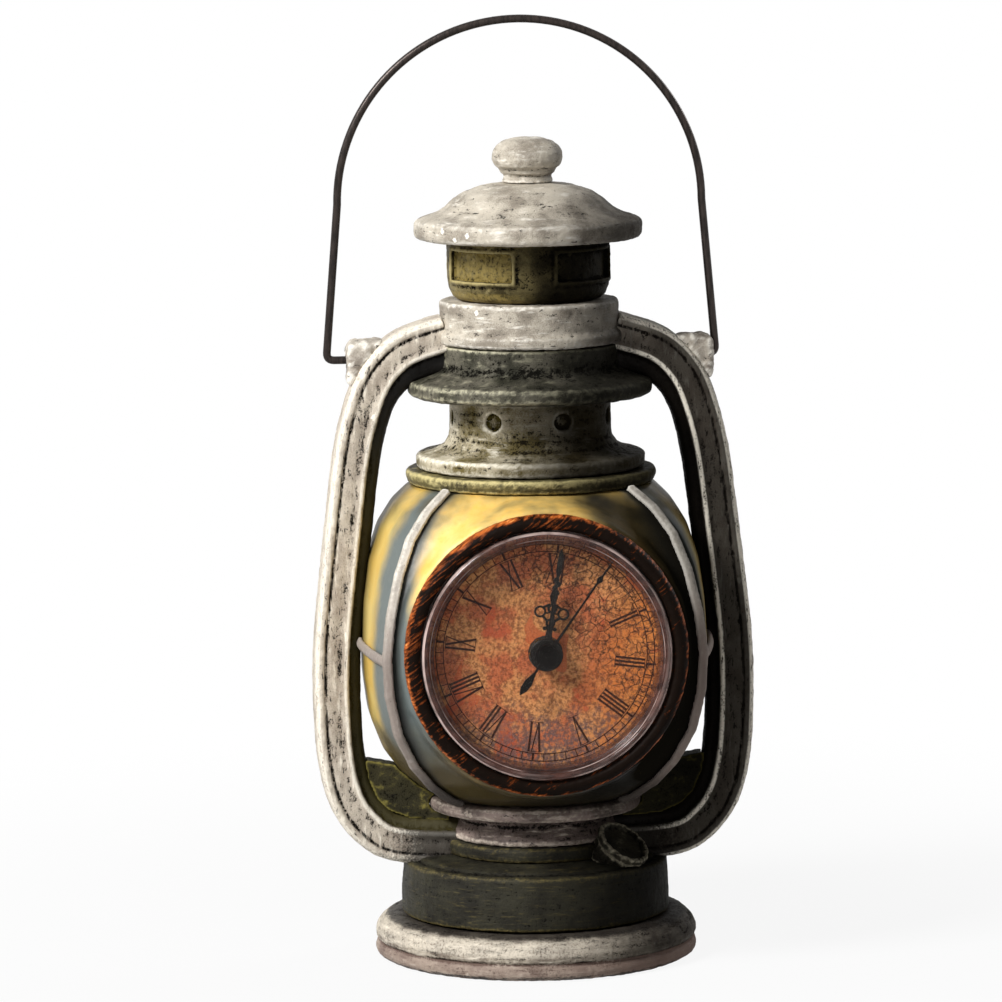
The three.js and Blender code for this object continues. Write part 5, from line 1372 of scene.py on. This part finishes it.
@dataclass
class ClockFace:
    """The bezel, the lens, the printed dial and the hands."""

    numerals: tuple[str, ...] = ("XII", "I", "II", "III", "IIII", "V", "VI", "VII", "VIII", "IX", "X", "XI")
    narrow: float = 1.0
    broad: float = 2.6
    dial_turn: float = -7.5
    scale_rings: tuple[Pair, ...] = ((30.0, 30.28), (32.2, 32.5))
    mark_inner: float = 30.2
    mark_outer: float = 32.25
    mark_width: float = 0.26
    hour_mark_width: float = 0.676
    numeral_inner: float = 20.8
    numeral_outer: float = 29.6
    stroke: float = 0.66
    hair: float = 0.3
    thin_stroke: float = 0.36
    serif: float = 0.21
    pitch: float = 1.15
    ink: float = 0.05
    lens_bore: float = 33.3
    lens_edge: float = 36.9
    lens_height: float = 9.0
    hands: tuple[Hand, ...] = (
        Hand("hour_hand", Body.HOUR, -8.3, 4.2, (2.4, 3.2), (2.55, 3.05), (
            ((-1.3, 3.0), (1.3, 3.0), (0.9, 6.6), (0.55, 8.2), (-0.55, 8.2), (-0.9, 6.6)),
            ((-0.5, 14.6), (0.5, 14.6), (1.25, 17.2), (0.55, 19.4), (0.15, 22.3), (-0.15, 22.3), (-0.55, 19.4),
             (-1.25, 17.2))),
            (((0.0, 9.3), 0.75, 1.45), ((-3.45, 12.4), 1.15, 1.8), ((3.45, 12.4), 1.15, 1.8), ((0.0, 13.6), 0.7, 1.5),
             ((-1.5, 7.6), 0.0, 0.6), ((1.5, 7.6), 0.0, 0.6)),
            (((-1.0, 9.9), (-2.5, 11.1), 0.75), ((1.0, 9.9), (2.5, 11.1), 0.75), ((-2.6, 13.8), (-0.9, 14.9), 0.7),
             ((2.6, 13.8), (0.9, 14.9), 0.7), ((-1.0, 12.2), (-2.0, 12.2), 0.5), ((1.0, 12.2), (2.0, 12.2), 0.5),
             ((0.0, 10.2), (0.0, 12.6), 0.6), ((-1.5, 7.6), (0.0, 8.6), 0.6), ((1.5, 7.6), (0.0, 8.6), 0.6))),
        Hand("minute_hand", Body.MINUTE, -8.9, 4.9, (3.8, 4.7), (4.0, 4.55), (
            ((-0.8, 4.0), (0.8, 4.0), (0.55, 18.2), (-0.55, 18.2)),
            ((-0.4, 22.8), (0.4, 22.8), (0.85, 25.2), (0.7, 30.0), (0.12, 31.8), (-0.12, 31.8), (-0.7, 30.0),
             (-0.85, 25.2))),
            (((0.35, 18.6), 0.0, 0.85), ((-0.4, 19.9), 0.0, 0.85), ((0.4, 21.2), 0.0, 0.85),
             ((-0.3, 22.4), 0.0, 0.8)),
            (((0.0, 18.0), (0.0, 23.4), 0.8),)),
    )

    def numeral(self, hour: int, letters: str) -> Piece:
        """One numeral: its strokes and serifs, upright at the top and then turned to its hour."""
        widths = {"I": self.narrow, "V": self.broad, "X": self.broad}
        low, high = self.numeral_inner, self.numeral_outer
        span = sum(widths[c] for c in letters) * self.pitch / 2
        strokes = []
        left = -span
        for letter in letters:
            right = left + widths[letter] * self.pitch
            middle, reach = (left + right) / 2, (right - left) / 2 - self.hair
            if letter == "I":
                strokes.append(((middle, low), (middle, high), self.stroke))
            else:
                foot = 0.0 if letter == "V" else reach
                strokes.append(((middle + foot, low), (middle - reach, high), self.stroke))
                strokes.append(((middle - foot, low), (middle + reach, high), self.thin_stroke))
            left = right
        for level in (low, high):
            strokes.append(((-span, level), (span, level), self.serif))
        bars = [Bench.stroke(f"numeral_{hour}_{i}", *stroke, 0.0, self.ink) for i, stroke in enumerate(strokes)]
        return Bench.settle(Bench.gather(f"numeral_{hour}", bars), (0, 0, -30.0 * hour))

    def mark(self, minute: int) -> Piece:
        """One minute mark between the circles, wider at the hours."""
        width = self.mark_width if minute % 5 else self.hour_mark_width
        bar = Bench.stroke(f"mark_{minute}", (0, self.mark_inner), (0, self.mark_outer), width, 0.0, self.ink)
        return Bench.settle(bar, (0, 0, -6.0 * minute))

    def print_dial(self) -> None:
        """Print the circles, marks and numerals on the paper."""
        parts = [Bench.turn(f"scale_ring_{i}", ((inner, 0), (outer, 0), (outer, self.ink), (inner, self.ink)), 180)
                 for i, (inner, outer) in enumerate(self.scale_rings)]
        parts += [self.mark(minute) for minute in range(60)]
        parts += [self.numeral(hour, letters) for hour, letters in enumerate(self.numerals)]
        piece = Bench.stand(Bench.gather("dial-print", parts), self.dial_turn)
        hand_over(piece, INK, Body.LANTERN, "dial_paper")

    def bezel(self) -> None:
        """Turn the bezel, lay it to the front and give it its uneven skin."""
        piece = Bench.turn("bezel-ring", (
            (37.4, 0.0), (41.6, 0.0), (41.9, 1.0), (41.9, 5.6), (41.3, 7.4), (40.0, 8.4), (38.6, 8.5), (37.5, 7.6),
            (37.3, 5.0)), ROUND)
        Bench.stand(piece, place=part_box("bezel_ring")[1].y / MM)
        Casting(grain=0.5, relief=0.35).pour(piece)
        hand_over(piece, StreakedCopper(), Body.LANTERN, "copper_bezel", "bezel_ring")

    def glaze(self) -> None:
        """Turn the lens's bevelled rim and its thin window, and set them in the bezel."""
        bore, edge, top = self.lens_bore, self.lens_edge, self.lens_height
        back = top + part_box("lens")[0].y / MM
        rim = Bench.turn("lens-rim", (
            (bore, 0.0), (edge, 0.0), (edge, 7.6), (edge - 0.25, 8.4), (edge - 0.8, 8.9), (edge - 1.5, top),
            (edge - 2.0, 8.7), (edge - 2.2, 8.1), (edge - 2.7, 8.1), (edge - 2.9, 7.5), (bore, 7.3)), ROUND)
        window = Bench.disc("lens-window", bore - 0.05, 6.0, 7.0, ROUND)
        for piece, rounding in ((rim, 0.25), (window, 0.1)):
            Bench.smooth(Bench.stand(Bench.ease(piece, rounding), place=back))
        # the two rings of the lens rim that get painted highlights
        bright = ((edge - 0.75, edge + 0.1), (edge - 2.45, edge - 2.1))
        hand_over(rim, ClearPlastic("lens_rim", swatch(96, 62, 53), swatch(48, 28, 23), 0.6, bright, 0.12, 0.34),
                  Body.LANTERN, "clear_lens", "lens")
        hand_over(window, ClearPlastic("lens_window", swatch(206, 198, 192), swatch(176, 166, 158), 0.012),
                  Body.LANTERN, "clear_lens")

    def build(self) -> None:
        """Build the face from the paper outwards."""
        dress("dial", CrackledPaper())
        self.print_dial()
        for hand in self.hands:
            hand.build()
        dress("second_hand", BLACK_PAINT)
        self.bezel()
        self.glaze()


@dataclass
class Works:
    """The quartz movement and its cell behind the dial, which keep their own meshes."""

    def build(self) -> None:
        """Dress every part of the works in its own material."""
        for finish, nodes in WORKS.items():
            for node in nodes:
                dress(node, finish)


@dataclass
class Studio:
    """The pale floor, the soft lamps and the camera at the photograph's place.

    Lengths are in metres, but for the floor's fade and the camera's lens and film in mm. A lamp is its name, place,
    size and power in watts.
    """

    eye: Triple = (-0.141, -1.754, 0.366)
    aim: Triple = (-0.0091, 0.0, 0.1378)
    lens: float = 211.6
    film: float = 36.0
    roll: float = -0.7
    clip: Pair = (0.1, 20.0)
    floor_size: float = 8.0
    floor_fade: Pair = (90.0, 420.0)
    floor_white: float = 0.9
    world_level: float = 0.05
    lamps: tuple[tuple[str, Triple, float, float], ...] = (
        ("key", (-1.35, -1.0, 1.45), 0.6, 66.0), ("front", (-0.5, -1.9, 0.7), 0.8, 2.5),
        ("rim", (1.3, 0.8, 0.8), 0.4, 8.0))

    def place(self, name: str, data: bpy.types.ID, place: Triple, roll: float = 0.0) -> Piece:
        """Put a lamp or camera at a place, facing the lantern and rolled by degrees."""
        item = bpy.data.objects.new(name, data)
        bpy.context.scene.collection.objects.link(item)
        item.location = place
        look = (Vector(self.aim) - Vector(place)).to_track_quat("-Z", "Y")
        item.rotation_euler = (look @ Euler((0, 0, math.radians(roll))).to_quaternion()).to_euler()
        return item

    def camera(self) -> None:
        """Set up the camera and look at the lantern."""
        data = bpy.data.cameras.new("camera")
        data.lens = self.lens
        data.sensor_width = self.film
        data.clip_start, data.clip_end = self.clip
        bpy.context.scene.camera = self.place("camera", data, self.eye, self.roll)

    def lamp(self, name: str, place: Triple, size: float, power: float) -> None:
        """Add one soft square lamp."""
        data = bpy.data.lights.new(name, "AREA")
        data.size = size
        data.energy = power
        self.place(name, data, place)

    def show(self, tree: bpy.types.NodeTree, plain: Socket, shown: Socket, end: Socket, share: object = 1.0) -> None:
        """Light with one shader, and show a share of another to the camera, straight or by gloss or glass.

        Args:
            tree: the nodes of the world or material.
            plain: the shader that lights.
            shown: the shader that is seen.
            end: where the result goes.
            share: how much of the second is seen.
        """
        path = tree.nodes.new("ShaderNodeLightPath")
        seen = Reading(path.outputs["Is Camera Ray"])
        for kind in ("Glossy", "Transmission"):
            seen = seen.calc("MAXIMUM", Reading(path.outputs[f"Is {kind} Ray"]))
        seen = seen * share
        feed(end, seen.into("ShaderNodeMixShader", "Shader", {0: seen, 1: Reading(plain), 2: Reading(shown)}))

    def world(self) -> None:
        """Light the room evenly, and show it white."""
        world = bpy.data.worlds.new("room")
        bpy.context.scene.world = world
        world.use_nodes = True
        tree = world.node_tree
        tree.nodes.clear()
        room, white = (tree.nodes.new("ShaderNodeBackground") for _ in range(2))
        for node, level in ((room, self.world_level), (white, 1.0)):
            node.inputs["Color"].default_value = (1, 1, 1, 1)
            node.inputs["Strength"].default_value = level
        end = tree.nodes.new("ShaderNodeOutputWorld").inputs["Surface"]
        self.show(tree, room.outputs["Background"], white.outputs["Background"], end)

    def floor(self) -> None:
        """Lay the pale floor, which shows near white and keeps the shadow."""
        Bench.hold()
        bpy.ops.mesh.primitive_plane_add(size=self.floor_size)
        floor = Bench.named("floor")
        mixture = Mixture("pale_floor")
        mixture.spread(mixture.noise(30.0).between(swatch(196, 196, 196), swatch(204, 204, 204)), 0.9)
        x, y, _ = mixture.axes()
        white = x.beside(y).step(*self.floor_fade) * (1.0 - self.floor_white) + self.floor_white
        glow = mixture.tree.nodes.new("ShaderNodeEmission")
        glow.inputs["Color"].default_value = (1, 1, 1, 1)
        end = mixture.tree.nodes["Material Output"].inputs["Surface"]
        self.show(mixture.tree, mixture.surface.outputs["BSDF"], glow.outputs["Emission"], end, white)
        floor.data.materials.append(mixture.material)

    def build(self) -> None:
        """Set up the camera, the lamps, the room and the floor."""
        self.camera()
        for lamp in self.lamps:
            self.lamp(*lamp)
        self.world()
        self.floor()
        bpy.context.scene.view_settings.view_transform = "Standard"


def main() -> None:
    """Build the lantern from the works outwards, then the studio."""
    logging.basicConfig(level=logging.INFO, format="%(name)s: %(message)s")
    for assembly in (Works(), ClockFace(), Globe(), Guard(), Base(), Chimney(), Hood(), Frame(), Filler(), Bail(),
                     Studio()):
        log.info("building %s", type(assembly).__name__.lower())
        assembly.build()
    bpy.context.view_layer.update()


if __name__ == "__main__":
    main()
